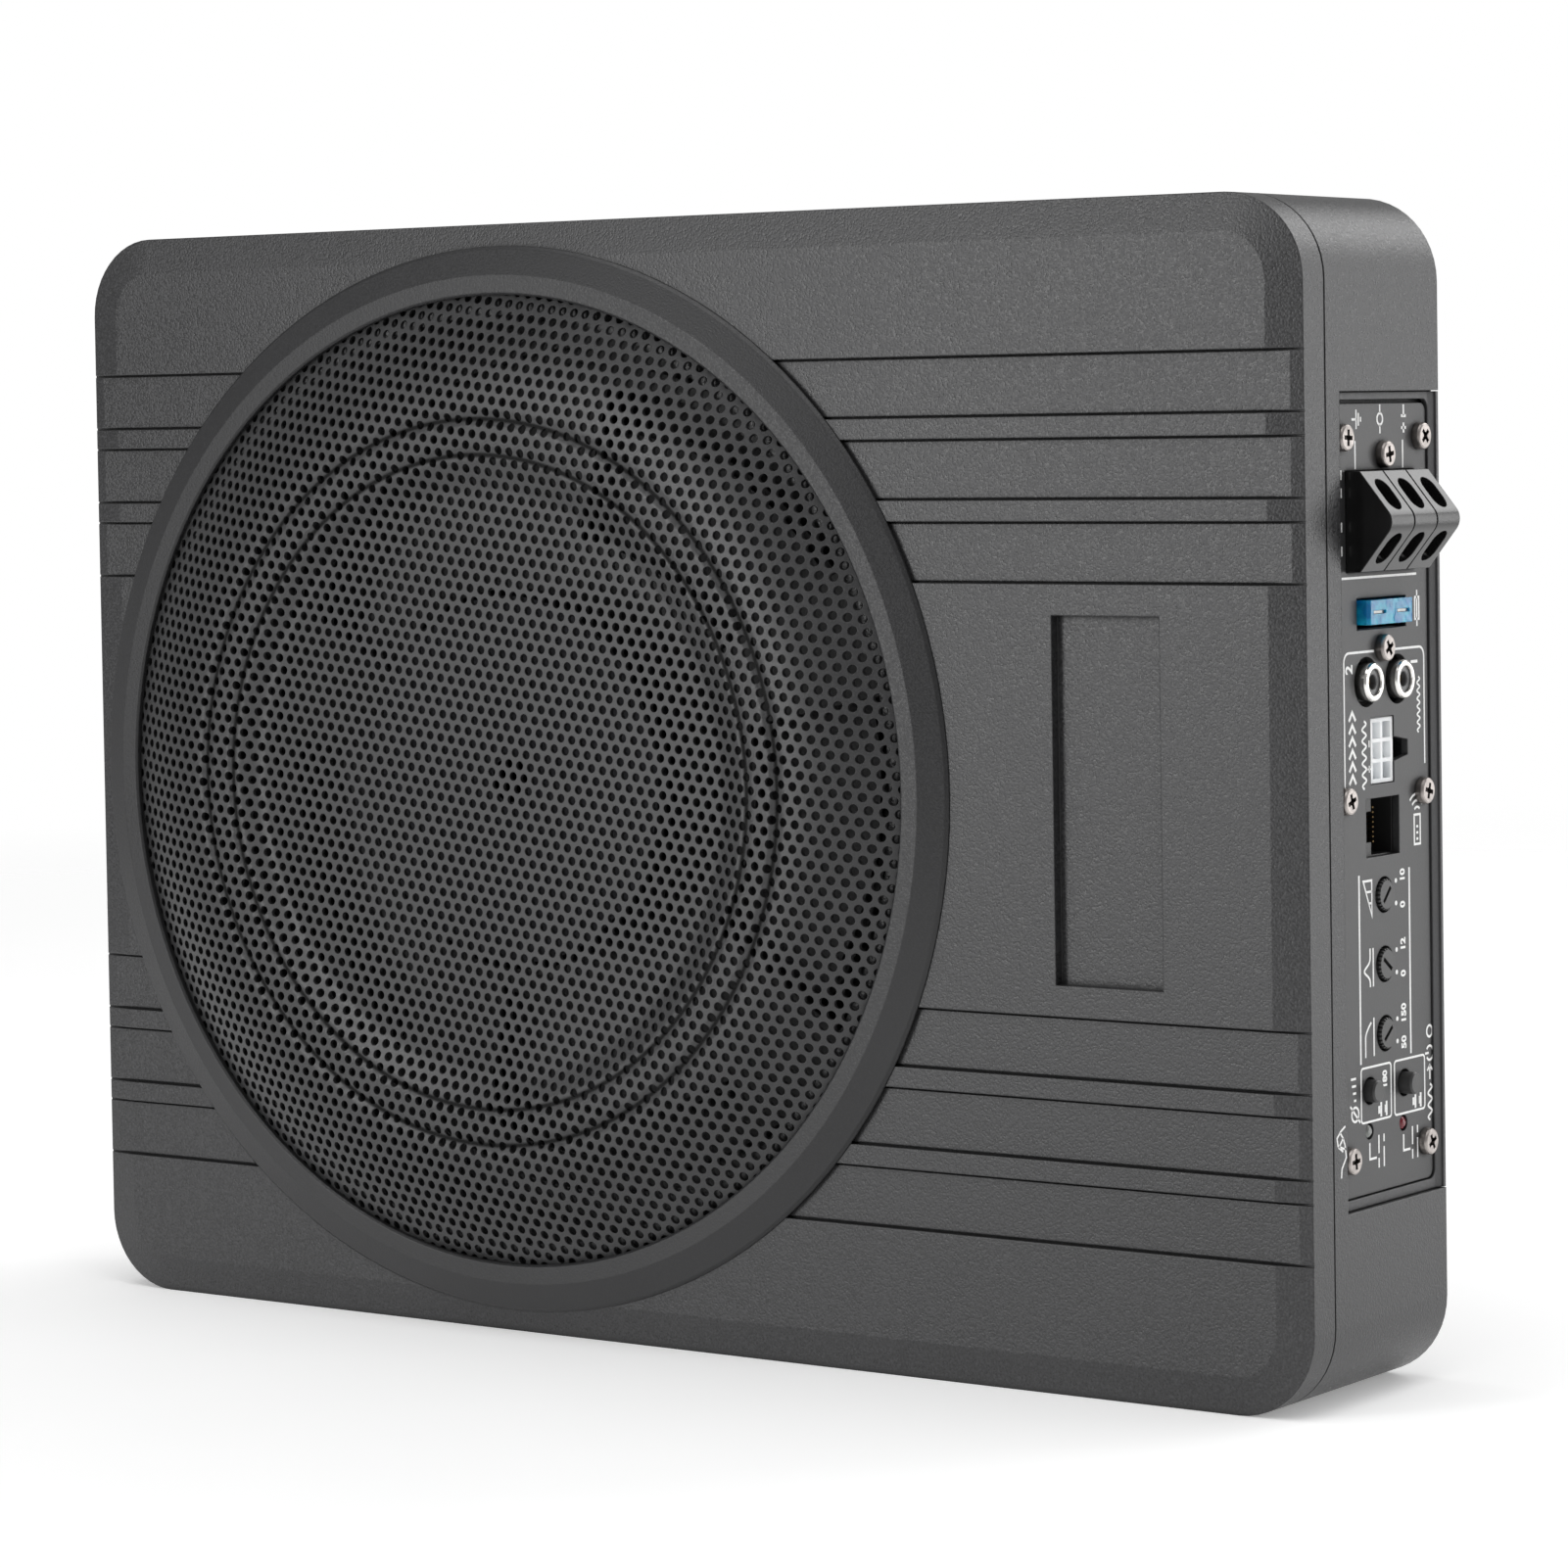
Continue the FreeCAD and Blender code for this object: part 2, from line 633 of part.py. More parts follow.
def make_housing():
    """Rear casting: the side walls, the panel recess and its ledge, the bosses."""
    body = new_body("housing")
    pad(body, "Y", SEAM_BACK, BACK, front_outline(0))
    pocket(body, "Y", SEAM_BACK, BACK, front_outline(S["wall"]))
    for spot in case_screw_spots():
        pad(body, "Y", SEAM_BACK, COVER_FRONT, lambda s, c=spot: draw_circle(s, c, S["boss_radius"]))
    low, high = MID - S["recess_tall"] / 2, MID + S["recess_tall"] / 2
    ledge_inside = PANEL_BACK - S["wall"]
    pad(
        body, "X", ledge_inside, HALF - S["wall"] / 2,
        lambda s: draw_box(s, S["recess_front"] - 2, COVER_FRONT, low - 3, high + 3),
    )
    pocket(
        body, "X", PANEL_BACK, HALF + 1,
        lambda s: draw_box(s, S["recess_front"], BACK + 1, low, high),
    )
    mid = S["panel_mid"]
    pocket(
        body, "X", ledge_inside - 0.5, PANEL_BACK + 0.5,
        lambda s: draw_outline(s, [
            (mid - 13.8, 48), (mid + 13.7, 48), (mid + 13.7, 170), (mid + 15.3, 170),
            (mid + 15.3, 193.6), (mid - 15.3, 193.6), (mid - 15.3, 170), (mid - 13.8, 170),
        ]),
    )
    pocket(body, "Y", COVER_FRONT, BACK, front_outline(S["cover_inset"]))
    pocket(
        body, "Y", SEAM_BACK, COVER_FRONT,
        lambda s: [draw_circle(s, c, 2.2) for c in case_screw_spots()],
    )
    pocket(
        body, "X", ledge_inside - 0.5, PANEL_BACK + 0.5,
        lambda s: [draw_circle(s, c, 1.42) for c in ledge_screw_spots()],
    )
    return body


def insert_spots():
    """Centres of the four threaded inserts as (x, z)."""
    return [
        (side * S["insert_x"], MID + up * S["insert_rise"]) for side in (-1, 1) for up in (-1, 1)
    ]


def standoff_spots():
    """Centres of the four board standoffs as (x, z)."""
    right, top = S["board_left"] + S["board_wide"], S["board_low"] + S["board_tall"]
    return [
        (x, z)
        for x in (S["board_left"] + 5, right - 5)
        for z in (S["board_low"] + 5, top - 5)
    ]


def make_rear_cover():
    """Steel rear cover; its tab and flange close the panel recess around the panel plate."""
    body = new_body("rear_cover")
    inset = S["cover_inset"] + 0.2
    pad(body, "Y", COVER_FRONT, BACK, front_outline(inset))
    tab = S["recess_tall"] / 2 - 0.2
    pad(
        body, "Y", COVER_FRONT, BACK,
        lambda s: draw_box(s, HALF - 12, HALF - 0.05, MID - tab, MID + tab),
    )
    front, rear = S["recess_front"] + 0.2, BACK - S["flange_rear"]
    outside = PANEL_FACE + S["flange_proud"]
    inside = outside - S["flange_thick"]
    pad(
        body, "Z", MID - tab, MID + tab,
        lambda s: draw_outline(s, [
            (inside, front), (outside, front), (outside, rear), (HALF - 0.05, BACK), (inside, BACK),
        ]),
    )
    pocket(
        body, "X", inside - 0.1, HALF,
        lambda s: draw_rounded(s, front - 10, rear, S["flange_low"], S["flange_high"], 2.0),
    )
    pocket(
        body, "Y", COVER_FRONT, BACK,
        lambda s: [draw_circle(s, c, 2.2) for c in case_screw_spots()]
        + [draw_circle(s, c, 3.45) for c in insert_spots()],
    )
    return body


def make_case_gasket():
    """Thin foam gasket in the seam, set back from the outside."""
    body = new_body("case_gasket")
    pad(body, "Y", SEAM_FRONT, SEAM_BACK, front_outline(1.0))
    pocket(body, "Y", SEAM_FRONT, SEAM_BACK, front_outline(2.6))
    return body


def make_case_screws():
    """Six long screws that hold cover, housing and baffle together."""
    master = pan_screw("case_screw_master", 3.8, 2.2, 1.95, 51.8)
    backwards = Rotation(Vector(0, 0, 1), Vector(0, 1, 0))
    spots = [(x, BACK, z) for x, z in case_screw_spots()]
    return copies("case_screws", master, spots, backwards)


def make_rubber_feet():
    """Four rubber feet on the rear cover, with a softened outer edge."""
    radius, tall = S["foot_radius"], S["foot_tall"]
    master = turned(
        "foot_master",
        [
            (0, 0), (radius, 0), (radius, tall - 1), (radius - 1, tall),
            (2, tall), (2, tall - 1), (0, tall - 1),
        ],
        (0, 0, 0),
    )
    spots = [
        (side * S["foot_x"], BACK, MID + up * S["foot_rise"]) for side in (-1, 1) for up in (-1, 1)
    ]
    return copies("rubber_feet", master, spots)


def make_mounting_inserts():
    """Four threaded brass inserts for a mounting bracket, flush with the rear cover."""
    bore = S["insert_bore"]
    master = turned(
        "insert_master",
        [(bore, -5.6), (4.2, -5.6), (4.2, -1), (3.4, -1), (3.4, 0), (bore, 0)],
        (0, 0, 0),
    )
    return copies("mounting_inserts", master, [(x, BACK, z) for x, z in insert_spots()])


# ---------------------------------------------------------------- ring and grille


def make_grille_ring():
    """Trim ring with a flat front band, a sloping flank and a lip over the grille's rim."""
    lip_back = FACE - S["ring_proud"] + S["ring_lip"]
    rim = S["ring_crown"] + 0.7
    profile = [
        (S["ring_inner"], FACE - S["ring_proud"] + 0.5),
        (S["ring_inner"] + 0.5, FACE - S["ring_proud"]),
        (S["ring_crown"], FACE - S["ring_proud"]),
        (S["ring_outer"] - 0.7, FACE - S["ring_shoulder"] - 0.4),
        (S["ring_outer"], FACE - S["ring_shoulder"] + 0.4),
        (S["ring_outer"], FACE),
        (rim, FACE),
        (rim, lip_back),
        (S["ring_inner"], lip_back),
    ]
    return turned("grille_ring", profile, ring_centre())


def make_grille():
    """Domed sheet with a skirt on the baffle, a rim under the ring, a bead and a sunk disc."""
    thick = S["grille_thick"]
    crest = FACE - S["grille_crest"]
    rim_front = FACE - S["ring_proud"] + S["ring_lip"]
    skirt = S["ring_crown"]
    inner, crease = S["ring_inner"] - 0.3, S["grille_crease"]
    span, rise = inner - crease, rim_front - crest
    dome = [
        (inner - span * share, rim_front - rise * math.sin(math.pi / 2 * share))
        for share in (0.0, 0.12, 0.25, 0.4, 0.55, 0.7, 0.85, 1.0)
    ]
    bead = (S["grille_bead"] + S["grille_crease"]) / 2
    sunk = crest + S["grille_sunk"]
    sheet_front = dome + [(bead, crest + 0.5), (S["grille_bead"], crest), (S["grille_dish"], sunk)]
    profile = [(skirt, FACE), (skirt, rim_front)] + sheet_front + [(0, sunk), (0, sunk + thick)]
    profile += [(r, y + thick) for r, y in reversed(sheet_front)]
    profile += [(skirt - thick, rim_front + thick), (skirt - thick, FACE)]
    return turned("grille", profile, ring_centre())


# ---------------------------------------------------------------- driver


def make_yoke():
    """Yoke plate and pole in one, with a vent through the pole."""
    vent, front, pole = 5.0, S["yoke_front"], S["pole_radius"]
    profile = [
        (vent, front), (S["yoke_radius"] - 1.5, front), (S["yoke_radius"], front + 1.5),
        (S["yoke_radius"], YOKE_BACK), (pole, YOKE_BACK), (pole, TOP_PLATE_BACK),
        (vent, TOP_PLATE_BACK),
    ]
    return turned("yoke", profile, ring_centre())


def make_magnet():
    bore, edge = S["magnet_bore"], S["magnet_radius"]
    profile = [
        (bore, YOKE_BACK), (edge - 1, YOKE_BACK), (edge, YOKE_BACK + 1),
        (edge, MAGNET_BACK - 1), (edge - 1, MAGNET_BACK), (bore, MAGNET_BACK),
    ]
    return turned("magnet", profile, ring_centre())


def make_top_plate():
    edge = S["magnet_radius"] - 2
    profile = [
        (S["gap_outer"], MAGNET_BACK), (edge, MAGNET_BACK),
        (edge, TOP_PLATE_BACK), (S["gap_outer"], TOP_PLATE_BACK),
    ]
    return turned("top_plate", profile, ring_centre())


def make_basket():
    """Pressed basket: base, bowl with five windows, spider shelf and flange."""
    body = new_body("basket")
    base, flange = TOP_PLATE_BACK, S["well_inner"] - 0.5
    revolve(body, [
        (24, base), (47, base), (93.7, FLANGE_FRONT - 4.0), (93.7, FLANGE_FRONT),
        (flange, FLANGE_FRONT), (flange, FLANGE_BACK), (91.5, FLANGE_BACK),
        (91.5, FLANGE_FRONT - 2.6), (51.3, base + 2.7), (51.3, base + 5.0),
        (46.5, base + 5.0), (46.5, base + 2.0), (24, base + 2.0),
    ])
    sketch = new_sketch(body, "Z", 0)
    draw_outline(sketch, [
        (53.5, base - 1), (53.5, FLANGE_BACK + 1), (89.0, FLANGE_BACK + 1), (89.0, base - 1),
    ])
    groove = body.newObject("PartDesign::Groove", "basket_window")
    groove.Profile = sketch
    groove.ReferenceAxis = (sketch, ["V_Axis"])
    groove.Angle = SPOKE_WINDOW
    doc.recompute()
    pattern = body.newObject("PartDesign::PolarPattern", "basket_windows")
    pattern.Originals = [groove]
    pattern.Axis = (origin_feature(body, "Y_Axis"), [""])
    pattern.Angle = 360.0
    pattern.Occurrences = SPOKES
    body.Tip = pattern
    doc.recompute()
    angles = [math.radians(DRIVER_SCREW_START + 45 * i + SPOKE_TURN) for i in range(8)]
    holes = [
        (S["driver_screw_radius"] * math.cos(a), S["driver_screw_radius"] * math.sin(a))
        for a in angles
    ]
    pocket(body, "Y", FLANGE_FRONT, FLANGE_BACK, lambda s: [draw_circle(s, c, 1.8) for c in holes])
    place(body, ring_centre(), Rotation(Vector(0, 1, 0), SPOKE_TURN))
    return body


def make_driver_gasket():
    body = new_body("driver_gasket")
    flange = S["well_inner"] - 0.5
    revolve(body, [
        (S["ledge_inner"], S["ledge_back"]), (flange, S["ledge_back"]),
        (flange, FLANGE_FRONT), (S["ledge_inner"], FLANGE_FRONT),
    ])
    spots = [
        (x - S["ring_x"], z - S["ring_z"])
        for x, _, z in polar_spots(S["driver_screw_radius"], 8, 0, DRIVER_SCREW_START)
    ]
    pocket(body, "Y", S["ledge_back"], FLANGE_FRONT, lambda s: [draw_circle(s, c, 1.8) for c in spots])
    place(body, ring_centre())
    return body


def make_driver_screws():
    master = pan_screw("driver_screw_master", 3.0, 1.9, 1.6, 5.6)
    backwards = Rotation(Vector(0, 0, 1), Vector(0, 1, 0))
    spots = polar_spots(S["driver_screw_radius"], 8, FLANGE_BACK, DRIVER_SCREW_START)
    return copies("driver_screws", master, spots, backwards)


CONE_NECK = TOP_PLATE_BACK + 7.2
FORMER_OUTER = S["former_radius"] + 0.3


def cone_slope(radius):
    """Rear surface of the cone at a radius."""
    share = (dim(radius) - FORMER_OUTER) / (S["cone_radius"] - FORMER_OUTER)
    return CONE_NECK + S["cone_deep"] * share


def make_voice_coil_former():
    profile = [
        (S["former_radius"], TOP_PLATE_BACK - 8.8), (FORMER_OUTER, TOP_PLATE_BACK - 8.8),
        (FORMER_OUTER, CONE_NECK + 1.2), (S["former_radius"], CONE_NECK + 1.2),
    ]
    return turned("coil_former", profile, ring_centre())


def make_voice_coil():
    low = TOP_PLATE_BACK - S["plate_thick"] / 2 - 4.0
    profile = [
        (FORMER_OUTER, low), (FORMER_OUTER + 0.75, low),
        (FORMER_OUTER + 0.75, low + 8), (FORMER_OUTER, low + 8),
    ]
    return turned("voice_coil", profile, ring_centre())


def make_cone():
    thick = 1.2
    edge = S["cone_radius"]
    profile = [
        (FORMER_OUTER, CONE_NECK - thick), (FORMER_OUTER + 2, CONE_NECK - thick),
        (edge - 4, cone_slope(edge - 4) - thick), (edge, cone_slope(edge - 4) - thick),
        (edge, cone_slope(edge - 4)), (edge - 4, cone_slope(edge - 4)), (FORMER_OUTER, CONE_NECK),
    ]
    return turned("cone", profile, ring_centre())


def make_dust_cap():
    """Shallow dome glued over the middle of the cone, on the side that faces the box."""
    edge, tall, thick = 32.0, 5.0, 0.8
    seat = cone_slope(edge)
    outside = [
        (edge * math.cos(a), seat + 0.05 + tall * math.sin(a))
        for a in (math.radians(d) for d in (0, 15, 32, 50, 70))
    ]
    inside = [
        ((edge - 1.6) * math.cos(a), seat + 0.05 + (tall - thick) * math.sin(a))
        for a in (math.radians(d) for d in (70, 50, 32, 15, 0))
    ]
    profile = outside + [(0, seat + 0.05 + tall), (0, seat + 0.05 + tall - thick)] + inside
    return turned("dust_cap", profile, ring_centre())


def make_surround():
    """Half-roll rubber surround between the cone's edge and the flange."""
    lip = FLANGE_BACK + 0.05
    low, high, thick = S["cone_radius"] + 0.7, 92.0, 0.9
    middle, roll = (low + high) / 2, (high - low) / 2
    arc = [math.radians(d) for d in range(0, 181, 20)]
    outer = [(middle + roll * math.cos(a), lip + roll * 0.95 * math.sin(a)) for a in reversed(arc)]
    inner = [
        (middle + (roll - thick) * math.cos(a), lip + (roll * 0.95 - thick) * math.sin(a))
        for a in arc
    ]
    inner_lip = S["cone_radius"] - 3.0
    profile = [(inner_lip, lip), (inner_lip, lip + thick)]
    profile += [(low - 0.1, lip + thick)] + outer[2:-2]
    profile += [(high + 0.1, lip + thick), (97, lip + thick), (97, lip)]
    profile += inner
    return turned("surround", profile, ring_centre())


def make_spider():
    """Corrugated spider between the former and the basket's shelf."""
    level, thick = TOP_PLATE_BACK + 5.05, 0.6
    start = FORMER_OUTER + 0.15
    crests = [(25.0 + 3 * i, 0.9 if i % 2 == 0 else -0.9) for i in range(6)]
    waves = [(22.0, 0.0)] + crests + [(43.0, 0.0)]
    line = [(start, 0.0)] + waves + [(50.8, 0.0)]
    front = [(r, level + up) for r, up in line]
    rear = [(r, level + up + thick) for r, up in reversed(line)]
    return turned("spider", front + rear, ring_centre())


# ---------------------------------------------------------------- control panel


def ledge_screw_spots():
    """Panel screws that reach the housing's ledge, as (y, z)."""
    front, rear = S["panel_mid"] - 16.5, S["panel_mid"] + 16.6
    spots = [(y, z) for y in (front, rear) for z in (51.3, 125.3, 199.7)]
    return spots + [(S["panel_mid"] + 1.0, dim(196.1))]


def panel_screw_spots():
    """All panel screws: those in the ledge and one in the phono block."""
    return ledge_screw_spots() + [(S["panel_mid"], S["phono_z"] + 6.8)]


def knob_spots():
    return [(S["panel_mid"], S["knob_z"] - S["knob_pitch"] * i) for i in range(3)]


def phono_spots():
    return [(S["panel_mid"] + side * S["phono_pitch"] / 2, S["phono_z"]) for side in (-1, 1)]


PANEL_SCREW_TURNS = (4.0, 20.0, -3.0, 27.0, -15.0, 42.0, 8.0, 30.0)  # as each was tightened
BUTTON_Y = (S["panel_mid"] - 7.0, S["panel_mid"] + 7.9)
LAMP_Y = (S["panel_mid"] - 7.4, S["panel_mid"] + 7.2)


def make_control_panel():
    """Panel plate with an opening for each control and connector."""
    body = new_body("control_panel")
    low, high = S["panel_low"], S["panel_low"] + S["panel_tall"]
    pad(
        body, "X", PANEL_BACK, PANEL_FACE,
        lambda s: draw_rounded(
            s, S["recess_front"] + 0.1, BACK - S["flange_rear"] - 0.2, low, high, 2.2,
        ),
    )
    mid = S["panel_mid"]
    terminal, half_poles = S["terminal_tall"] / 2 + 0.15, S["pole_pitch"] * 1.5 + 0.15
    header, header_up = S["header_wide"] / 2 + 0.2, S["header_tall"] / 2 + 0.2
    middle = S["header_z"]

    def openings(s):
        draw_box(
            s, mid - half_poles, mid + half_poles,
            S["terminal_z"] - terminal, S["terminal_z"] + terminal,
        )
        draw_box(s, mid - 10.5, mid + 10.6, S["fuse_z"] - 3.6, S["fuse_z"] + 2.9)
        draw_box(s, mid - 7.4, mid - 7.4 + S["jack_wide"],
                 S["jack_z"] - S["jack_tall"] / 2, S["jack_z"] + S["jack_tall"] / 2)
        draw_outline(s, [
            (mid - header - 0.2, middle - header_up), (mid + header - 0.2, middle - header_up),
            (mid + header - 0.2, middle - 2.6), (mid + header + 5.8, middle - 1.6),
            (mid + header + 5.8, middle + 1.6), (mid + header - 0.2, middle + 2.6),
            (mid + header - 0.2, middle + header_up), (mid - header - 0.2, middle + header_up),
        ])
        for spot in phono_spots():
            draw_circle(s, spot, 5.2)
        for spot in knob_spots():
            draw_circle(s, spot, 3.8)
        for y in BUTTON_Y:
            draw_circle(s, (y, S["button_z"]), 2.9)
        for y in LAMP_Y:
            draw_circle(s, (y, S["lamp_z"]), 1.7)
        for spot in panel_screw_spots():
            draw_circle(s, spot, 1.5)

    pocket(body, "X", PANEL_BACK, PANEL_FACE, openings)
    return body


def make_panel_screws():
    master = pan_screw("panel_screw_master", 2.8, 1.9, 1.4, 5.6)
    spots = [(PANEL_FACE, y, z) for y, z in panel_screw_spots()]
    outwards = Rotation(Vector(0, 0, 1), Vector(1, 0, 0))
    return copies("panel_screws", master, spots, outwards, PANEL_SCREW_TURNS)


TERMINAL_STEP = PANEL_FACE + S["terminal_step"]
TERMINAL_TIP = TERMINAL_STEP + S["terminal_rise"]
TERMINAL_HALF = S["terminal_tall"] / 2
SLOPE = math.degrees(math.atan2(S["terminal_rise"].number, TERMINAL_HALF.number))


def slope_spot(up, depth):
    """A point below the middle of a sloping terminal face, as (x, z). `up` is 1 or -1."""
    share, lean = 0.46, math.radians(SLOPE)
    x = TERMINAL_STEP + S["terminal_rise"] * share - depth * math.cos(lean)
    z = S["terminal_z"] + TERMINAL_HALF * (1 - share) * up - depth * math.sin(lean) * up
    return x, z


def slope_rotation(up):
    """Turns +Z to a sloping face's outward normal, keeping Y."""
    return Rotation(Vector(0, 1, 0), 90.0 - SLOPE * up)


def pole_spots():
    return [S["panel_mid"] + S["pole_pitch"] * i for i in (-1, 0, 1)]


def slot_tool(name, y, up, top, bottom, radius, half_straight):
    """A slot-shaped tool set square to a sloping face, between two depths."""
    rotation = slope_rotation(up)
    x, z = slope_spot(up, bottom)
    along = rotation.multVec(Vector(1, 0, 0))
    length = dim(bottom) - top
    parts = []
    for side in (-1, 1):
        spot = (x + along.x * half_straight * side, y, z + along.z * half_straight * side)
        parts.append(rod(f"{name}_end", spot, radius, length, rotation=rotation))
    box = doc.addObject("Part::Box", f"{name}_middle")
    bind(box, "Length", 2 * half_straight)
    bind(box, "Width", 2 * radius)
    bind(box, "Height", length)
    corner = (x - along.x * half_straight, y - radius, z - along.z * half_straight)
    place(box, corner, rotation)
    return joined(name, parts + [box])


def make_terminal_block():
    """Three pole terminal block: wedge nose, wire entries below, screw entries above."""
    body = new_body("terminal_blank")
    z, tall = S["terminal_z"], TERMINAL_HALF
    inside = S["control_board_x"] + 3.0
    low, high = S["panel_mid"] - S["pole_pitch"] * 1.5, S["panel_mid"] + S["pole_pitch"] * 1.5
    pad(body, "Y", low, high, lambda s: draw_outline(s, [
        (inside, z - tall), (TERMINAL_STEP, z - tall), (TERMINAL_TIP, z),
        (TERMINAL_STEP, z + tall), (inside, z + tall),
    ]))
    nose = straight_edges(body.Shape, "Y", lambda m: m.x > TERMINAL_TIP.number - 0.01)
    dress(body, "Fillet", nose, Radius=S["terminal_round"])
    for side in (-0.5, 0.5):
        middle = S["panel_mid"] + S["pole_pitch"] * side

        def groove(s):
            draw_box(s, TERMINAL_STEP - 1.5, TERMINAL_TIP + 5, z - tall - 5, z + tall + 5)
            draw_outline(s, [
                (TERMINAL_STEP - 1.5 + 0.001, z - tall + 1), (TERMINAL_STEP - 0.6, z - tall + 1),
                (TERMINAL_TIP - 2.9, z - 1.9), (TERMINAL_TIP - 2.9, z + 1.9),
                (TERMINAL_STEP - 0.6, z + tall - 1), (TERMINAL_STEP - 1.5 + 0.001, z + tall - 1),
            ])

        pocket(body, "Y", middle - 0.25, middle + 0.25, groove)
    tools = []
    for i, y in enumerate(pole_spots()):
        tools.append(slot_tool(f"wire_entry_{i}", y, -1, -1.0, 8.5, 2.6, 1.4))
        tools.append(slot_tool(f"screw_entry_{i}", y, 1, -1.0, 5.4, 2.6, 1.4))
        x, spot_z = slope_spot(1, 9.6)
        tools.append(rod(f"screw_bore_{i}", (x, y, spot_z), 1.48, 4.3, rotation=slope_rotation(1)))
    return cut("terminal_block", body, tools)


def make_terminal_clamps():
    """A slotted clamp washer under each terminal screw."""
    plates = []
    for i, y in enumerate(pole_spots()):
        plate = slot_tool(f"clamp_plate_{i}", y, 1, 4.6, 5.4, 2.55, 1.35)
        x, z = slope_spot(1, 6.0)
        hole = rod(f"clamp_hole_{i}", (x, y, z), 1.48, 2.5, rotation=slope_rotation(1))
        plates.append(cut(f"clamp_{i}", plate, [hole]))
    return group("terminal_clamps", plates)


def make_terminal_screw(label, y):
    """A slotted clamp screw, turned about the sloping face's normal."""
    body = new_body(label)
    sketch = new_sketch(body, "Y", 0)
    draw_outline(sketch, [
        (0, -4.2), (1.0, -4.2), (1.42, -3.7), (1.42, 0), (2.3, 0), (2.3, 1.9), (2.0, 2.2), (0, 2.2),
    ])
    turn = body.newObject("PartDesign::Revolution", f"{label}_turn")
    turn.Profile = sketch
    turn.ReferenceAxis = (sketch, ["V_Axis"])
    turn.Angle = 360.0
    doc.recompute()
    pocket(body, "Z", 1.2, 2.3, lambda s: draw_box(s, -2.4, 2.4, -0.35, 0.35))
    x, z = slope_spot(1, 4.55)
    place(body, (x, y, z), slope_rotation(1))
    return body


FUSE_TOP = PANEL_FACE + S["fuse_proud"]
FUSE_BOTTOM = FUSE_TOP - 12.2


def blade_limits():
    """Y limits of the fuse's two blades."""
    mid, half = S["panel_mid"] + 0.1, S["fuse_wide"] / 2
    return [(mid - half + 1.9, mid - half + 7.1), (mid + half - 7.1, mid + half - 1.9)]


def make_fuse_case():
    """Clear moulded fuse body, stepped below its head and open over both test points."""
    body = new_body("fuse_case")
    mid, half, thick = S["panel_mid"] + 0.1, S["fuse_wide"] / 2, S["fuse_thick"] / 2
    pad(body, "X", FUSE_TOP - 3.4, FUSE_TOP, lambda s: draw_box(
        s, mid - half, mid + half, S["fuse_z"] - thick, S["fuse_z"] + thick,
    ))
    pad(body, "X", FUSE_BOTTOM, FUSE_TOP - 3.4, lambda s: draw_box(
        s, mid - half + 1.1, mid + half - 1.1, S["fuse_z"] - thick + 0.6, S["fuse_z"] + thick - 0.6))
    top = [e for e in straight_edges(body.Shape, "Z", lambda m: m.x > FUSE_TOP.number - 0.01)]
    dress(body, "Chamfer", top, Size=0.7)
    for low, high in blade_limits():
        pocket(body, "X", FUSE_BOTTOM, FUSE_TOP, lambda s, a=low, b=high: draw_box(
            s, a - 0.02, b + 0.02, S["fuse_z"] - 0.36, S["fuse_z"] + 0.36))
    (_, left), (right, _) = blade_limits()
    pocket(body, "Z", S["fuse_z"] - 0.36, S["fuse_z"] + 0.36, lambda s: draw_box(
        s, FUSE_TOP - 6.1, FUSE_TOP - 2.3, left - 0.3, right + 0.3))
    return body


def make_fuse_link():
    """Both blades and the thin link that joins them."""
    body = new_body("fuse_link")
    z = S["fuse_z"]
    tip = FUSE_BOTTOM - 7.3
    (a, left), (right, b) = blade_limits()
    pad(body, "Z", z - 0.33, z + 0.33, lambda s: draw_outline(s, [
        (tip, a + 0.8), (tip + 1, a), (FUSE_TOP - 0.5, a), (FUSE_TOP - 0.5, left),
        (FUSE_TOP - 2.5, left), (FUSE_TOP - 3.6, (left + right) / 2), (FUSE_TOP - 2.5, right),
        (FUSE_TOP - 0.5, right), (FUSE_TOP - 0.5, b), (tip + 1, b), (tip, b - 0.8),
        (tip, right + 0.8), (tip + 1, right), (FUSE_TOP - 3.7, right),
        (FUSE_TOP - 4.8, (left + right) / 2), (FUSE_TOP - 3.7, left), (tip + 1, left),
        (tip, left - 0.8),
    ]))
    return body


def make_fuse_holder():
    """Fuse holder behind the slot, with a well for the fuse and a slit for each blade."""
    body = new_body("fuse_holder")
    mid, z = S["panel_mid"] + 0.1, S["fuse_z"]
    floor = FUSE_BOTTOM - 0.6
    rim = PANEL_BACK - 0.1
    pad(body, "X", FUSE_BOTTOM - 9.5, rim, lambda s: draw_box(s, mid - 12.4, mid + 12.4, z - 5.2, z + 4.6))
    pocket(body, "X", floor, rim, lambda s: draw_box(s, mid - 10.5, mid + 10.5, z - 3.5, z + 2.9))
    for low, high in blade_limits():
        pocket(
            body, "X", floor - 8.2, floor,
            lambda s, a=low, b=high: draw_box(s, a - 0.5, b + 0.5, z - 1.3, z + 1.3),
        )
    return body


def make_fuse_contacts():
    """Two pairs of spring contacts that grip the blades."""
    z = S["fuse_z"]
    floor = FUSE_BOTTOM - 0.6
    leaves = []
    for i, (low, high) in enumerate(blade_limits()):
        for j, side in enumerate((-1, 1)):
            inner, outer = z + side * 0.65, z + side * 1.2
            bottom, top = (inner, outer) if side > 0 else (outer, inner)
            leaves.append(block(f"fuse_leaf_{i}_{j}", (floor - 8.1, low, bottom), (floor - 0.6, high, top)))
    return group("fuse_contacts", leaves)


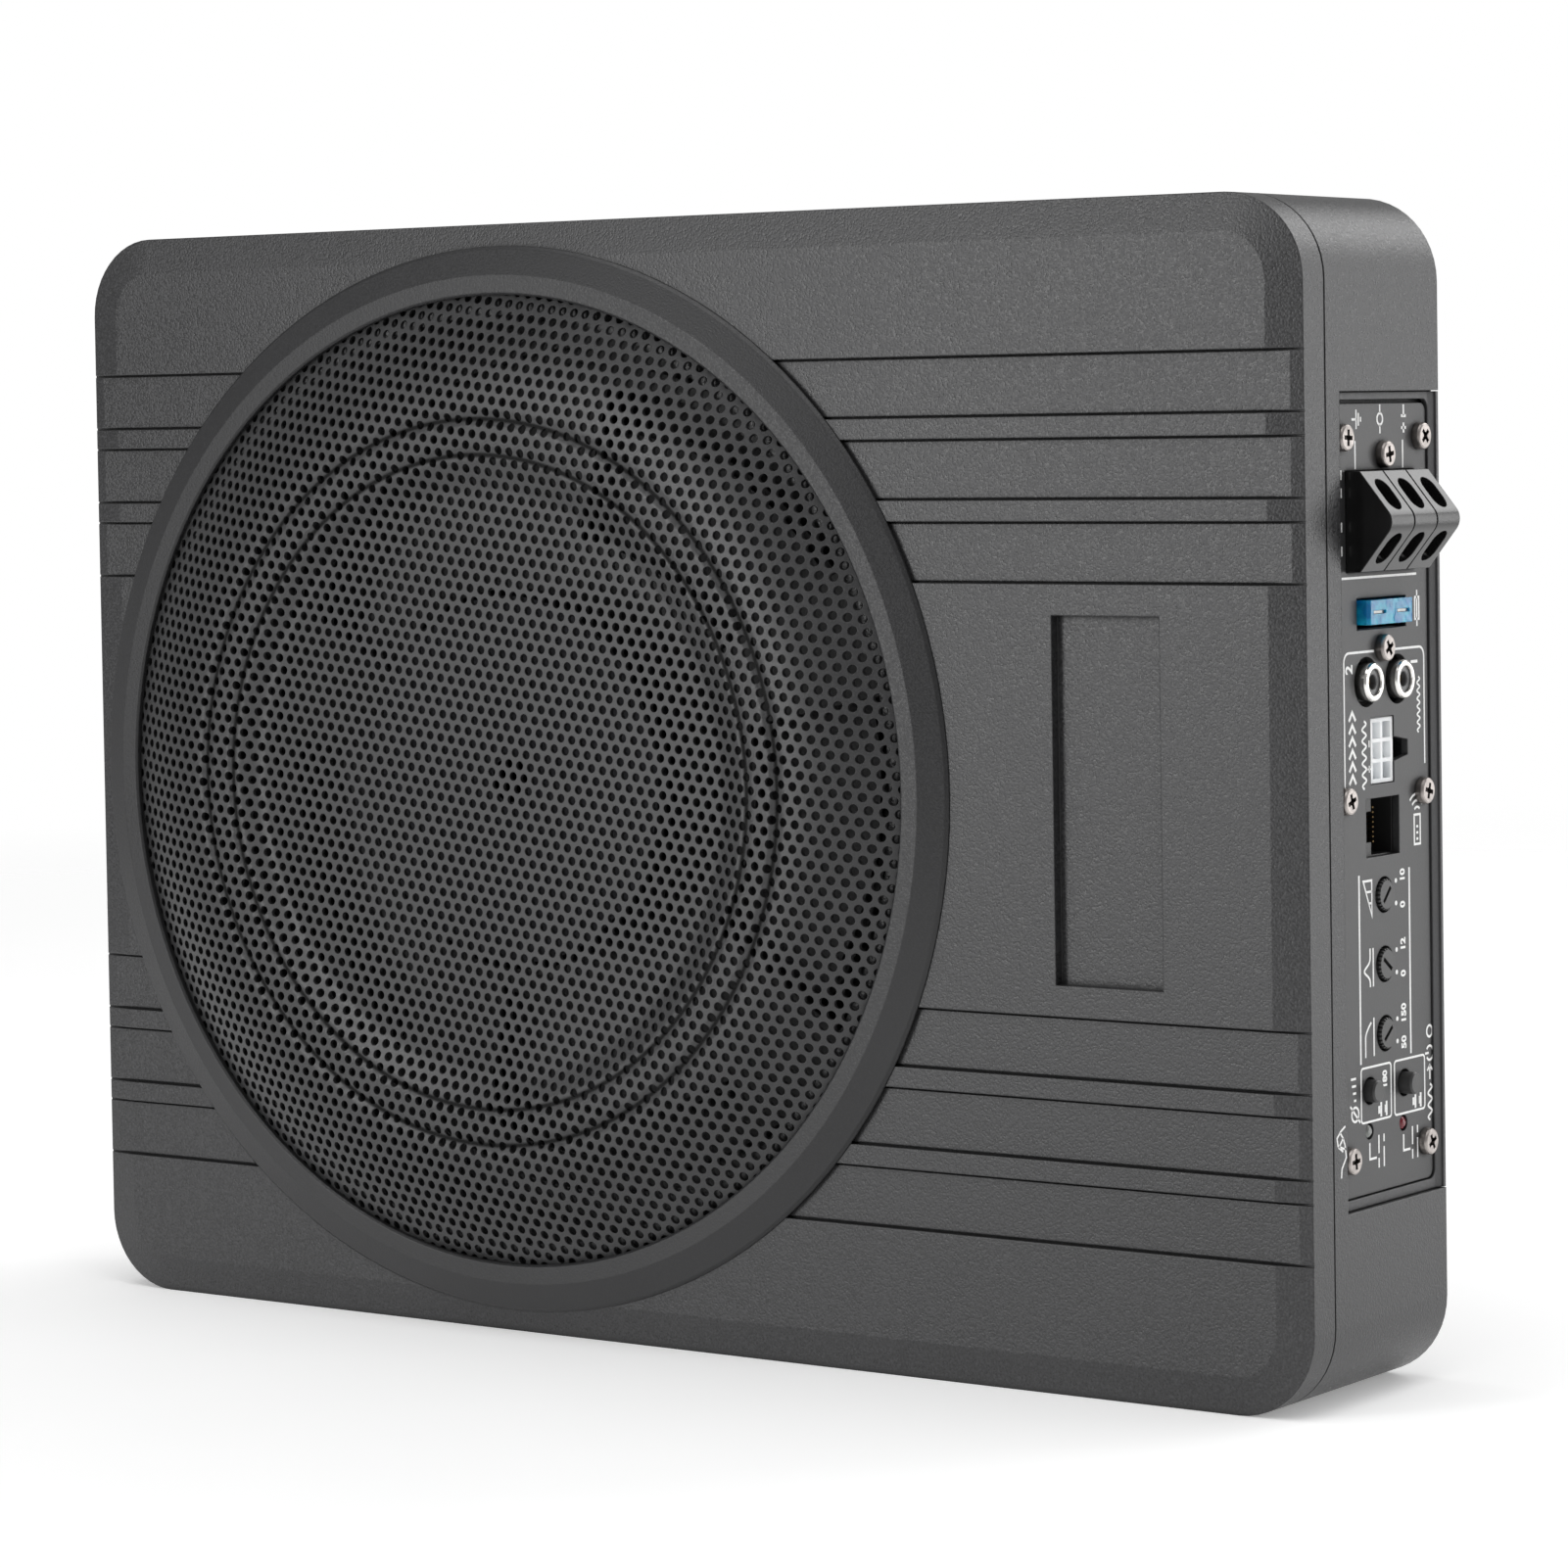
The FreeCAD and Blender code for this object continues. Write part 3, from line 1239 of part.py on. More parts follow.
def make_phono_block():
    """Black moulding that carries both phono sockets and takes one panel screw."""
    body = new_body("phono_block")
    mid, z = S["panel_mid"], S["phono_z"]
    face = PANEL_BACK - 4.6
    rear = S["control_board_x"]
    pad(body, "X", rear, face, lambda s: draw_box(s, mid - 13.2, mid + 13.2, z - 5.8, z + 9.0))
    pad(body, "X", face, PANEL_BACK, lambda s: draw_box(s, mid - 3.4, mid + 3.4, z + 4.9, z + 9.0))
    pocket(body, "X", rear + 2, face, lambda s: [
        draw_circle(s, c, S["phono_radius"]) for c in phono_spots()
    ])
    pocket(body, "X", PANEL_FACE - 5.8, PANEL_BACK, lambda s: draw_circle(s, (mid, z + 6.8), 1.42))
    return body


def make_phono_parts():
    """Shells, insulators and centre sleeves of the two phono sockets."""
    rear, front = S["control_board_x"] + 2.0, PANEL_FACE + S["phono_proud"]
    edge, bore = S["phono_radius"], S["phono_radius"] - 1.35
    spots = [(0, y, z) for y, z in phono_spots()]
    shell = lathe_x("shell_master", [
        (rear, bore), (front - 0.4, bore), (front - 0.1, bore + 0.12), (front, bore + 0.4),
        (front, edge - 0.6), (front - 0.15, edge - 0.2), (front - 0.6, edge), (rear, edge),
    ], (0, 0, 0))
    insert = lathe_x("insulator_master", [
        (rear, 1.75), (front - 2.2, 1.75), (front - 2.2, 1.5), (front - 0.9, 1.5),
        (front - 0.7, 1.7), (front - 0.7, bore), (rear, bore),
    ], (0, 0, 0))
    sleeve = lathe_x("sleeve_master", [
        (rear, 1.35), (front - 2.25, 1.35), (front - 2.25, 1.74), (rear, 1.74),
    ], (0, 0, 0))
    return [
        copies("phono_shells", shell, spots),
        copies("phono_insulators", insert, spots),
        copies("phono_sleeves", sleeve, spots),
    ]


def header_cells():
    """Centres of the header's six cells as (y, z)."""
    return [
        (S["panel_mid"] - 0.2 + S["cell_pitch"] * a, S["header_z"] + S["cell_pitch"] * b)
        for a in (-0.5, 0.5)
        for b in (-1, 0, 1)
    ]


def make_input_header():
    """White six way header with shallow cells and a latch nib."""
    body = new_body("input_header")
    mid, z = S["panel_mid"] - 0.2, S["header_z"]
    rear, front = S["control_board_x"], PANEL_FACE - 0.2
    pad(body, "X", rear, front, lambda s: draw_box(
        s, mid - S["header_wide"] / 2, mid + S["header_wide"] / 2,
        z - S["header_tall"] / 2, z + S["header_tall"] / 2))
    right = mid + S["header_wide"] / 2
    pad(body, "Z", z - 1.5, z + 1.5, lambda s: draw_outline(s, [
        (front - 6, right), (front - 1.2, right), (front - 1.2, right + 1.0), (front - 3.0, right + 1.5)]))
    side = 1.7
    for y, cell_z in header_cells():
        pocket(
            body, "X", front - 3.2, front,
            lambda s, a=y, b=cell_z: draw_box(s, a - side, a + side, b - side, b + side),
        )
        pocket(body, "X", rear, front - 3.2, lambda s, a=y, b=cell_z: draw_circle(s, (a, b), 0.52))
    return body


def make_input_pins():
    rear = S["control_board_x"]
    long = PANEL_FACE - 3.0 - rear
    pins = [rod(f"input_pin_{i}", (rear, y, z), 0.5, long) for i, (y, z) in enumerate(header_cells())]
    return group("input_pins", pins)


def make_remote_jack():
    """Black modular socket: plug cavity and the narrower slot for the plug's latch."""
    body = new_body("remote_jack")
    mid, z = S["panel_mid"], S["jack_z"]
    rear, front = S["control_board_x"], PANEL_BACK - 0.1
    pad(body, "X", rear, front, lambda s: draw_box(s, mid - 8.6, mid + 8.2, z - 7.3, z + 7.3))
    pocket(body, "X", rear + 1.5, front, lambda s: draw_box(s, mid - 2.3, mid + 6.5, z - 5.85, z + 5.85))
    pocket(body, "X", rear + 4.0, front, lambda s: draw_box(s, mid - 7.2, mid - 2.3, z - 3.2, z + 3.2))
    return body


def make_remote_contacts():
    """Eight sprung contact wires in the modular socket."""
    wires = []
    rear = S["control_board_x"] + 1.6
    lean = Rotation(Vector(0, 0, 1), Vector(1.0, -0.32, 0))
    for i in range(8):
        z = S["jack_z"] + 1.02 * (i - 3.5)
        wires.append(rod(f"remote_wire_{i}", (rear, S["panel_mid"] + 5.9, z), 0.22, 8.0, rotation=lean))
    return group("remote_contacts", wires)


def make_pots():
    """Bodies of the three trimmer potentiometers."""
    pots = []
    rear, front = S["control_board_x"], S["control_board_x"] + 9.2
    for i, (y, z) in enumerate(knob_spots()):
        case = block(f"pot_case_{i}", (rear, y - 4.8, z - 4.8), (front, y + 4.8, z + 4.8))
        shaft = rod(f"pot_bore_{i}", (rear + 2.0, y, z), 1.55, 9.0)
        pots.append(cut(f"pot_{i}", case, [shaft]))
    return group("trimmer_bodies", pots)


def make_knob(label, spot, slot_angle):
    """Slotted, fluted trimmer knob with its shaft."""
    front, back = PANEL_FACE + S["knob_proud"], PANEL_BACK - 1.2
    body = lathe_x(label, [
        (S["control_board_x"] + 2.4, 0), (front, 0), (front, S["knob_radius"] - 0.3),
        (front - 0.3, S["knob_radius"]), (back, S["knob_radius"]), (back, 1.5),
        (S["control_board_x"] + 2.4, 1.5),
    ], (0, 0, 0))
    flute = pocket(body, "X", back - 0.1, front + 0.1, lambda s: draw_box(
        s, S["knob_radius"] - 0.35, S["knob_radius"] + 0.4, dim(-0.22), dim(0.22)))
    pattern = body.newObject("PartDesign::PolarPattern", f"{label}_flutes")
    pattern.Originals = [flute]
    pattern.Axis = (origin_feature(body, "X_Axis"), [""])
    pattern.Angle = 360.0
    pattern.Occurrences = 22
    body.Tip = pattern
    doc.recompute()
    pocket(
        body, "X", front - 1.1, front + 0.1,
        lambda s: draw_box(s, dim(-2.1), dim(2.1), dim(-0.42), dim(0.42)),
    )
    place(body, (0, spot[0], spot[1]), Rotation(Vector(1, 0, 0), slot_angle))
    return body


def make_switches():
    """Bodies of the two push switches."""
    cases = []
    rear = S["control_board_x"]
    for i, y in enumerate(BUTTON_Y):
        z = S["button_z"]
        case = block(f"switch_case_{i}", (rear, y - 4.2, z - 4.2), (rear + 8.4, y + 4.2, z + 4.2))
        bore = rod(f"switch_bore_{i}", (rear + 0.8, y, z), 1.55, 9.0)
        cases.append(cut(f"switch_{i}", case, [bore]))
    return group("switch_bodies", cases)


def make_button(label, y, proud, cap_back):
    """Round push button: cap with a rounded edge, and its stem."""
    front = PANEL_FACE + proud
    edge = S["button_radius"]
    stem_end = S["control_board_x"] + 3.2
    return lathe_x(label, [
        (stem_end, 0), (front, 0), (front, edge - 0.35), (front - 0.35, edge),
        (cap_back, edge), (cap_back, 1.45), (stem_end, 1.45),
    ], (0, y, S["button_z"]))


def make_lamp(label, y):
    """Round indicator lamp with a domed top and a flange."""
    radius = S["lamp_radius"]
    top = PANEL_FACE + 0.3
    return lathe_x(label, [
        (PANEL_BACK - 5, 0), (top, 0), (top - 0.15, radius * 0.5), (top - 0.6, radius * 0.87),
        (top - 1.4, radius), (PANEL_BACK - 4, radius), (PANEL_BACK - 4, radius + 0.3),
        (PANEL_BACK - 5, radius + 0.3),
    ], (0, y, S["lamp_z"]))


def make_lamp_leads():
    rear = S["control_board_x"]
    leads = []
    for i, y in enumerate(LAMP_Y):
        for j, side in enumerate((-1, 1)):
            start = (rear, y + side * 0.65, S["lamp_z"])
            leads.append(rod(f"lamp_lead_{i}_{j}", start, 0.25, PANEL_BACK - 5 - rear))
    return group("lamp_leads", leads)


# ---------------------------------------------------------------- amplifier


def make_control_board():
    thick, x = S["board_thick"], S["control_board_x"]
    board = block(
        "control_board", (x - thick, S["panel_mid"] - 14.0, 46), (x, S["panel_mid"] + 13.4, 158.4)
    )
    board.Label = "control_board"
    return board


def make_amplifier_board():
    body = new_body("amplifier_board")
    right, top = S["board_left"] + S["board_wide"], S["board_low"] + S["board_tall"]
    front, rear = S["board_front"], S["board_front"] + S["board_thick"]
    pad(body, "Y", front, rear, lambda s: draw_box(s, S["board_left"], right, S["board_low"], top))
    pocket(body, "Y", front, rear, lambda s: [draw_circle(s, c, 1.6) for c in standoff_spots()])
    return body


def make_standoffs():
    rear = S["board_front"] + S["board_thick"]
    master = turned("standoff_master", [
        (1.47, rear), (3.0, rear), (3.0, COVER_FRONT), (1.47, COVER_FRONT)], (0, 0, 0))
    return copies("board_standoffs", master, [(x, 0, z) for x, z in standoff_spots()])


def make_board_screws():
    master = pan_screw("board_screw_master", 2.7, 1.7, 1.45, 6.8)
    forwards = Rotation(Vector(0, 0, 1), Vector(0, -1, 0))
    spots = [(x, S["board_front"], z) for x, z in standoff_spots()]
    return copies("board_screws", master, spots, forwards)


def make_capacitors():
    """Four electrolytic capacitors standing on the amplifier board."""
    radius, tall = 8.0, 25.0
    front = S["board_front"]
    master = turned("capacitor_master", [
        (0, front - tall + 0.6), (radius - 2.0, front - tall + 0.6), (radius - 1.4, front - tall),
        (radius - 0.6, front - tall), (radius, front - tall + 0.6), (radius, front - 3.2),
        (radius - 0.5, front - 2.6), (radius, front - 2.0), (radius, front), (0, front),
    ], (0, 0, 0))
    spots = [
        (S["board_left"] + x, 0, S["board_low"] + z) for x in (33.0, 51.0) for z in (28.0, 47.0)
    ]
    return copies("capacitors", master, spots)


def inductor_centre():
    return (S["board_left"] + 42.0, S["board_front"] - 7.1, S["board_low"] + 92.0)


def make_inductor():
    """Toroid core and the winding around most of it."""
    core = doc.addObject("Part::Torus", "inductor_core")
    core.Label = "inductor_core"
    core.Radius1 = 14.0
    core.Radius2 = 4.6
    place(core, inductor_centre(), ALONG["Y"])
    outer = doc.addObject("Part::Torus", "winding_outer")
    inner = doc.addObject("Part::Torus", "winding_inner")
    for torus, radius in ((outer, 6.9), (inner, 4.62)):
        torus.Radius1 = 14.0
        torus.Radius2 = radius
        torus.Angle3 = 310.0
        place(torus, inductor_centre(), ALONG["Y"])
    return [core, cut("inductor_winding", outer, [inner])]


def make_heat_spreader():
    """Aluminium bar that clamps the power transistors."""
    body = new_body("heat_spreader")
    left, low = S["board_left"] + 3.0, S["board_low"] + 14.0
    front = S["board_front"]
    pad(body, "Z", low, low + 140.0, lambda s: draw_outline(s, [
        (left, front - 24), (left + 4, front - 24), (left + 4, front - 4), (left + 12, front - 4),
        (left + 12, front - 0.1), (left, front - 0.1),
    ]))
    return body


def transistor_levels():
    return [S["board_low"] + 30.0 + 27.0 * i for i in range(5)]


def make_transistors():
    """Five power transistors, each with three legs that reach down to the board."""
    left, front = S["board_left"] + 7.0, S["board_front"]
    parts = []
    for i, z in enumerate(transistor_levels()):
        pieces = [block(f"transistor_case_{i}", (left, front - 22, z - 5), (left + 4.5, front - 7, z + 5))]
        for j, offset in enumerate((-2.54, 0, 2.54)):
            low = (left + 2.0, front - 7, z + offset - 0.4)
            high = (left + 2.6, front - 4.05, z + offset + 0.4)
            pieces.append(block(f"transistor_leg_{i}_{j}", low, high))
        parts.append(joined(f"transistor_{i}", pieces))
    return group("power_transistors", parts)


def make_board_link():
    """Plug block that joins the control board to the amplifier board."""
    x, front = S["control_board_x"] - S["board_thick"], S["board_front"]
    link = block("board_link", (x - 8.4, front - 7.0, 97), (x - 0.05, front - 0.05, 110))
    link.Label = "board_link"
    return link


def make_all():
    """Every named sub-part of the subwoofer."""
    parts = [
        make_front_baffle(), make_housing(), make_rear_cover(), make_case_gasket(),
        make_case_screws(), make_rubber_feet(), make_mounting_inserts(),
        make_grille_ring(), make_grille(),
        make_yoke(), make_magnet(), make_top_plate(), make_basket(), make_driver_gasket(),
        make_driver_screws(), make_voice_coil_former(), make_voice_coil(), make_cone(),
        make_dust_cap(), make_surround(), make_spider(),
        make_control_panel(), make_panel_screws(), make_terminal_block(), make_terminal_clamps(),
        make_fuse_case(), make_fuse_link(), make_fuse_holder(), make_fuse_contacts(),
        make_phono_block(), make_input_header(), make_input_pins(), make_remote_jack(),
        make_remote_contacts(), make_pots(), make_switches(), make_lamp_leads(),
        make_control_board(), make_amplifier_board(), make_standoffs(), make_board_screws(),
        make_capacitors(), make_heat_spreader(), make_transistors(),
        make_board_link(),
    ]
    parts += make_phono_parts()
    parts += make_inductor()
    screw_names = ("terminal_screw_ground", "terminal_screw_remote", "terminal_screw_supply")
    parts += [make_terminal_screw(name, y) for name, y in zip(screw_names, pole_spots())]
    knobs = (("gain_knob", 45.0), ("boost_knob", -35.0), ("crossover_knob", 38.0))
    parts += [make_knob(name, spot, turn) for (name, turn), spot in zip(knobs, knob_spots())]
    parts.append(make_button("phase_button", BUTTON_Y[0], 2.2, PANEL_BACK - 2.2))
    parts.append(make_button("power_button", BUTTON_Y[1], 2.85, PANEL_BACK - 0.6))
    parts.append(make_lamp("power_lamp", LAMP_Y[0]))
    parts.append(make_lamp("protect_lamp", LAMP_Y[1]))
    return parts


def check_and_write(parts):
    """Stop on any broken object or shape, then write one STEP file for each sub-part."""
    doc.recompute()
    for thing in doc.Objects:
        if "Invalid" in thing.State or "Error" in thing.State:
            raise RuntimeError(f"{thing.Label} did not recompute: {thing.State}")
    os.makedirs("parts", exist_ok=True)
    for part in parts:
        shape = part.Shape
        if shape.isNull() or not shape.isValid() or not shape.Solids:
            raise RuntimeError(f"{part.Label} has no valid solid")
        shape.exportStep(f"parts/{part.Label}.step")


check_and_write(make_all())
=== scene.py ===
"""Looks of a powered car subwoofer: perforated grille, panel printing, paints, plastics, metals."""

import math
from functools import partial

import bmesh
import bpy
from mathutils import Matrix, Vector


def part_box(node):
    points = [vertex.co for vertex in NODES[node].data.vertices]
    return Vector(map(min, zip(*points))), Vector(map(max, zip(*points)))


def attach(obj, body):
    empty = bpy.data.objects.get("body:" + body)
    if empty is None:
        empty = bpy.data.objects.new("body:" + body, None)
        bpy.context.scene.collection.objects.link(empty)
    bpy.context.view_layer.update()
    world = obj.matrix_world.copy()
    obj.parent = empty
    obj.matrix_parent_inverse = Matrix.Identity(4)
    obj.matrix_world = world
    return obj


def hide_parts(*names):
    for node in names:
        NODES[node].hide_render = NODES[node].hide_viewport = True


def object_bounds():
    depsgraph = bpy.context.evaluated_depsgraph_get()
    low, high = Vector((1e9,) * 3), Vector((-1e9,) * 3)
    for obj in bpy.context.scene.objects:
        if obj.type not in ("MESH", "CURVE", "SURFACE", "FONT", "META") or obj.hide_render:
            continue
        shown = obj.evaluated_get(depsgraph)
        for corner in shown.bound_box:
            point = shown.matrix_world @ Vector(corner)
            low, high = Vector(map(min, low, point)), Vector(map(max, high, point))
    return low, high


MM = 0.001

# Round folds of the grille's sheet, as radii from its middle.
BEAD_FOLD = 73.4 * MM
DOME_FOLD = 81.4 * MM

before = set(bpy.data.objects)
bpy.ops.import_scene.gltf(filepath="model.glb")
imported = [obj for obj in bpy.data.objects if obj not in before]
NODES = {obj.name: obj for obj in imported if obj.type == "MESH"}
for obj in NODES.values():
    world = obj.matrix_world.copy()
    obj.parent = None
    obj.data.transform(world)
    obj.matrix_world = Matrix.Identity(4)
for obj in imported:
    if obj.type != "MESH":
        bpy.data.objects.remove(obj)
CAD_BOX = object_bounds()


def middle(node):
    """Centre of a CAD node's box."""
    low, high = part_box(node)
    return (low + high) / 2


# ---------------------------------------------------------------- camera


def make_camera():
    """A long lens to the right of the object, a little above its middle and looking slightly down."""
    place = (0.6654, -0.9148, 0.20635)
    yaw, pitch, roll = (math.radians(angle) for angle in (35.58, 2.46, -0.92))
    forward = Vector((-math.sin(yaw) * math.cos(pitch), math.cos(yaw) * math.cos(pitch), -math.sin(pitch)))
    level = forward.cross(Vector((0, 0, 1))).normalized()
    upright = level.cross(forward)
    right = level * math.cos(roll) + upright * math.sin(roll)
    up = upright * math.cos(roll) - level * math.sin(roll)
    aimed = Matrix((right, up, -forward)).transposed().to_4x4()
    data = bpy.data.cameras.new("camera")
    data.lens = 115.6
    data.sensor_width = 36.0
    data.shift_x = 0.0116
    data.shift_y = -0.0977
    camera = bpy.data.objects.new("camera", data)
    camera.matrix_world = Matrix.Translation(place) @ aimed
    bpy.context.scene.collection.objects.link(camera)
    bpy.context.scene.camera = camera


# ---------------------------------------------------------------- finishes


class Finish:
    """A node material: adds shader nodes by kind and sets or links their inputs."""

    def __init__(self, name, colour, roughness, **sockets):
        self.material = bpy.data.materials.new(name)
        self.material.use_nodes = True
        self.tree = self.material.node_tree
        self.shader = self.tree.nodes["Principled BSDF"]
        self.put("Base Color", (*colour, 1.0))
        self.put("Roughness", roughness)
        for socket, value in sockets.items():
            self.put(socket.replace("_", " "), value)
        self.place = self.add("TexCoord").outputs["Object"]

    def put(self, socket, value, node=None):
        """Sets an input, or links it if the value comes from another node."""
        socket = (node or self.shader).inputs[socket]
        if isinstance(value, bpy.types.NodeSocket):
            self.tree.links.new(value, socket)
        else:
            socket.default_value = value

    def add(self, kind, inputs=None, **settings):
        """Adds a shader node with its inputs, and sets its other properties."""
        node = self.tree.nodes.new("ShaderNode" + kind)
        for key, value in settings.items():
            setattr(node, key, value)
        for key, value in (inputs or {}).items():
            self.put(key, value, node)
        return node

    def stretched(self, scale):
        """Object coordinates scaled by axis, for marks that run one way."""
        return self.add("Mapping", {"Vector": self.place, "Scale": scale}).outputs[0]

    def noise(self, size, detail=2.0, place=None):
        """Soft noise whose blotches are about `size` metres across."""
        inputs = {"Vector": place or self.place, "Scale": 1 / size, "Detail": detail}
        return self.add("TexNoise", inputs).outputs[0]

    def spread(self, value, low, high, start=0.0, end=1.0):
        """Maps start..end of a value to low..high."""
        inputs = {"Value": value, "From Min": start, "From Max": end, "To Min": low, "To Max": high}
        return self.add("MapRange", inputs).outputs[0]

    def between(self, value, start, end):
        """How far a value has come from start to end, from 0 to 1."""
        return self.spread(value, 0.0, 1.0, start, end)

    def maths(self, operation, first, second=0.0):
        return self.add("Math", {0: first, 1: second}, operation=operation).outputs[0]

    def blend(self, share, first, second):
        """Colour between two colours, each a triple or another node's output."""
        inputs = {0: share}
        for socket, colour in ((6, first), (7, second)):
            inputs[socket] = colour if isinstance(colour, bpy.types.NodeSocket) else (*colour, 1.0)
        return self.add("Mix", inputs, data_type="RGBA").outputs[2]

    def rounded(self, radius):
        """Normal that turns smoothly over edges, as if they had this radius."""
        return self.add("Bevel", {"Radius": radius}, samples=6).outputs[0]

    def edges(self, radius):
        """1 on edges and 0 on flat faces."""
        flat = self.add("NewGeometry").outputs["Normal"]
        both = self.add("VectorMath", {0: self.rounded(radius), 1: flat}, operation="DOT_PRODUCT")
        return self.between(both.outputs["Value"], 0.985, 0.86)

    def shade_in_hollows(self, reach):
        """Towards 0 in corners and recesses narrower than `reach`, 1 on open faces; it masks painted shade.
        """
        open_sky = self.add("AmbientOcclusion", {"Distance": reach}, samples=6).outputs["AO"]
        return self.between(open_sky, 0.15, 0.85)

    def off_circle(self, centre, radius):
        """0 on a circle round the Y axis through `centre`, 1 a little inside or outside it."""
        apart = self.add("VectorMath", {0: self.place, 1: centre}, operation="SUBTRACT").outputs["Vector"]
        level = self.add("VectorMath", {0: apart, 1: (1.0, 0.0, 1.0)}, operation="MULTIPLY").outputs["Vector"]
        length = self.add("VectorMath", {0: level}, operation="LENGTH").outputs["Value"]
        off = self.maths("ABSOLUTE", self.maths("SUBTRACT", length, radius))
        return self.between(off, 0.25 * MM, 0.8 * MM)

    def bump(self, height, distance, normal=None):
        """Raises the surface by up to `distance` where `height` is 1."""
        inputs = {"Height": height, "Distance": distance}
        if normal is not None:
            inputs["Normal"] = normal
        self.put("Normal", self.add("Bump", inputs).outputs[0])

    def specks(self, size, share):
        """1 on a few small dots, one in some of the cells of `size` metres, and 0 elsewhere."""
        cells = self.add("TexVoronoi", {"Vector": self.place, "Scale": 1 / size})
        near = self.between(cells.outputs["Distance"], 0.05, 0.02)
        lucky = self.maths("GREATER_THAN", cells.outputs["Color"], 1 - share)
        return self.maths("MULTIPLY", near, lucky)


def scaled(colour, factor):
    return tuple(min(1.0, part * factor) for part in colour)


def grey(level):
    return (level, level, level)


def paint(
    name, colour, roughness, grain, relief,
    dust=0.0, edge=1.8, radius=0.4 * MM, contrast=1.9, folds=(),
):
    """Textured coating: a fine sandy grain, faint clouds, polished edges and a little dust.

    Edges shine up to `edge` times the colour, and the grain tends towards `contrast` times it.
    `folds` holds (centre, radius) of round folds. Painted shade darkens the hollows and these folds.
    """
    finish = Finish(name, colour, roughness)
    sand = finish.noise(grain, 1.5)
    cloud = finish.noise(38 * MM, 3.0)
    shade = finish.blend(finish.between(cloud, 0.35, 0.65), scaled(colour, 0.9), scaled(colour, 1.1))
    shade = finish.blend(finish.spread(sand, 0.0, 0.55, 0.45, 0.75), shade, scaled(colour, contrast))
    worn = finish.maths("MULTIPLY", finish.edges(radius), finish.spread(cloud, 0.35, 0.9, 0.3, 0.7))
    shade = finish.blend(worn, shade, scaled(colour, edge))
    # Painted shade: the colour goes near black in corners, recesses and along the folds, and the gloss drops
    # there.
    unshaded_face = finish.shade_in_hollows(1.8 * MM)
    for centre, reach in folds:
        unshaded_face = finish.maths("MINIMUM", unshaded_face, finish.off_circle(centre, reach))
    shade = finish.blend(unshaded_face, scaled(colour, 0.05), shade)
    if dust:
        specks = finish.maths("MULTIPLY", finish.specks(3.5 * MM, dust), 0.5)
        shade = finish.blend(specks, shade, grey(0.5))
    finish.put("Base Color", shade)
    rough_grain = finish.spread(sand, -0.1, 0.1, 0.3, 0.7)
    rough_grain = finish.maths("ADD", rough_grain, finish.spread(cloud, -0.03, 0.03))
    rough_grain = finish.maths("ADD", rough_grain, finish.spread(unshaded_face, 0.6, 0.0))
    finish.put("Roughness", finish.maths("ADD", rough_grain, roughness))
    finish.bump(sand, relief, normal=finish.rounded(radius))
    return finish.material


def plastic(name, colour, roughness, grain=0.5 * MM, relief=0.015 * MM, radius=0.25 * MM, glow=0.0):
    """Moulded plastic: slight mottling, uneven gloss, softened edges; `glow` lets light soak in."""
    finish = Finish(
        name, colour, roughness, Subsurface_Weight=glow, Subsurface_Scale=3 * MM,
        Subsurface_Radius=(1.0, 1.0, 1.0),
    )
    fine = finish.noise(grain, 2.0)
    broad = finish.noise(9 * MM, 3.0)
    mottled = finish.between(broad, 0.3, 0.7)
    finish.put("Base Color", finish.blend(mottled, scaled(colour, 0.85), scaled(colour, 1.15)))
    uneven = finish.spread(broad, roughness - 0.04, roughness + 0.04)
    finish.put("Roughness", finish.maths("ADD", finish.spread(fine, -0.06, 0.06), uneven))
    finish.bump(fine, relief, normal=finish.rounded(radius))
    return finish.material


def metal(name, colour, roughness, tarnish=0.7, lines=(1, 1, 1)):
    """Bare or plated metal: tool marks along one axis, blotches of tarnish, bright edges and painted shade in
    hollows.
    """
    radius = 0.15 * MM
    finish = Finish(name, colour, roughness, Metallic=1.0)
    marks = finish.noise(0.3 * MM, 3.0, finish.stretched(lines))
    stain = finish.noise(2.5 * MM, 4.0)
    shade = finish.blend(finish.between(stain, 0.4, 0.75), colour, scaled(colour, tarnish))
    shade = finish.blend(finish.edges(radius), shade, scaled(colour, 1.15))
    # Painted shade: the colour goes near black in hollows.
    finish.put("Base Color", finish.blend(finish.shade_in_hollows(1.2 * MM), scaled(colour, 0.04), shade))
    dulled = finish.spread(stain, roughness - 0.05, roughness + 0.08)
    finish.put("Roughness", finish.maths("ADD", finish.spread(marks, -0.07, 0.07), dulled))
    finish.bump(marks, 0.008 * MM, normal=finish.rounded(radius))
    return finish.material


def rubber(name, colour, roughness=0.75, grain=0.25 * MM, relief=0.03 * MM):
    """Rubber or foam: open pores and a dusty bloom."""
    finish = Finish(name, colour, roughness)
    pores = finish.noise(grain, 4.0)
    bloom = finish.between(finish.noise(7 * MM, 3.0), 0.35, 0.8)
    finish.put("Base Color", finish.blend(bloom, colour, scaled(colour, 2.0)))
    finish.put("Roughness", finish.spread(pores, roughness - 0.1, roughness + 0.1))
    finish.bump(pores, relief, normal=finish.rounded(0.3 * MM))
    return finish.material


def clear(name, colour, roughness, share, haze):
    """Tinted clear plastic with flow marks; `share` of it lets light through."""
    finish = Finish(
        name, colour, roughness, Transmission_Weight=share, IOR=1.49,
        Subsurface_Weight=0.6, Subsurface_Scale=1.5 * MM, Subsurface_Radius=(1.0, 1.0, 1.0),
    )
    flow = finish.noise(2.6 * MM, 3.0)
    finish.put("Base Color", finish.blend(finish.between(flow, 0.38, 0.62), colour, haze))
    finish.put("Roughness", finish.spread(flow, roughness, roughness + 0.12))
    finish.bump(flow, 0.2 * MM, normal=finish.rounded(0.35 * MM))
    return finish.material


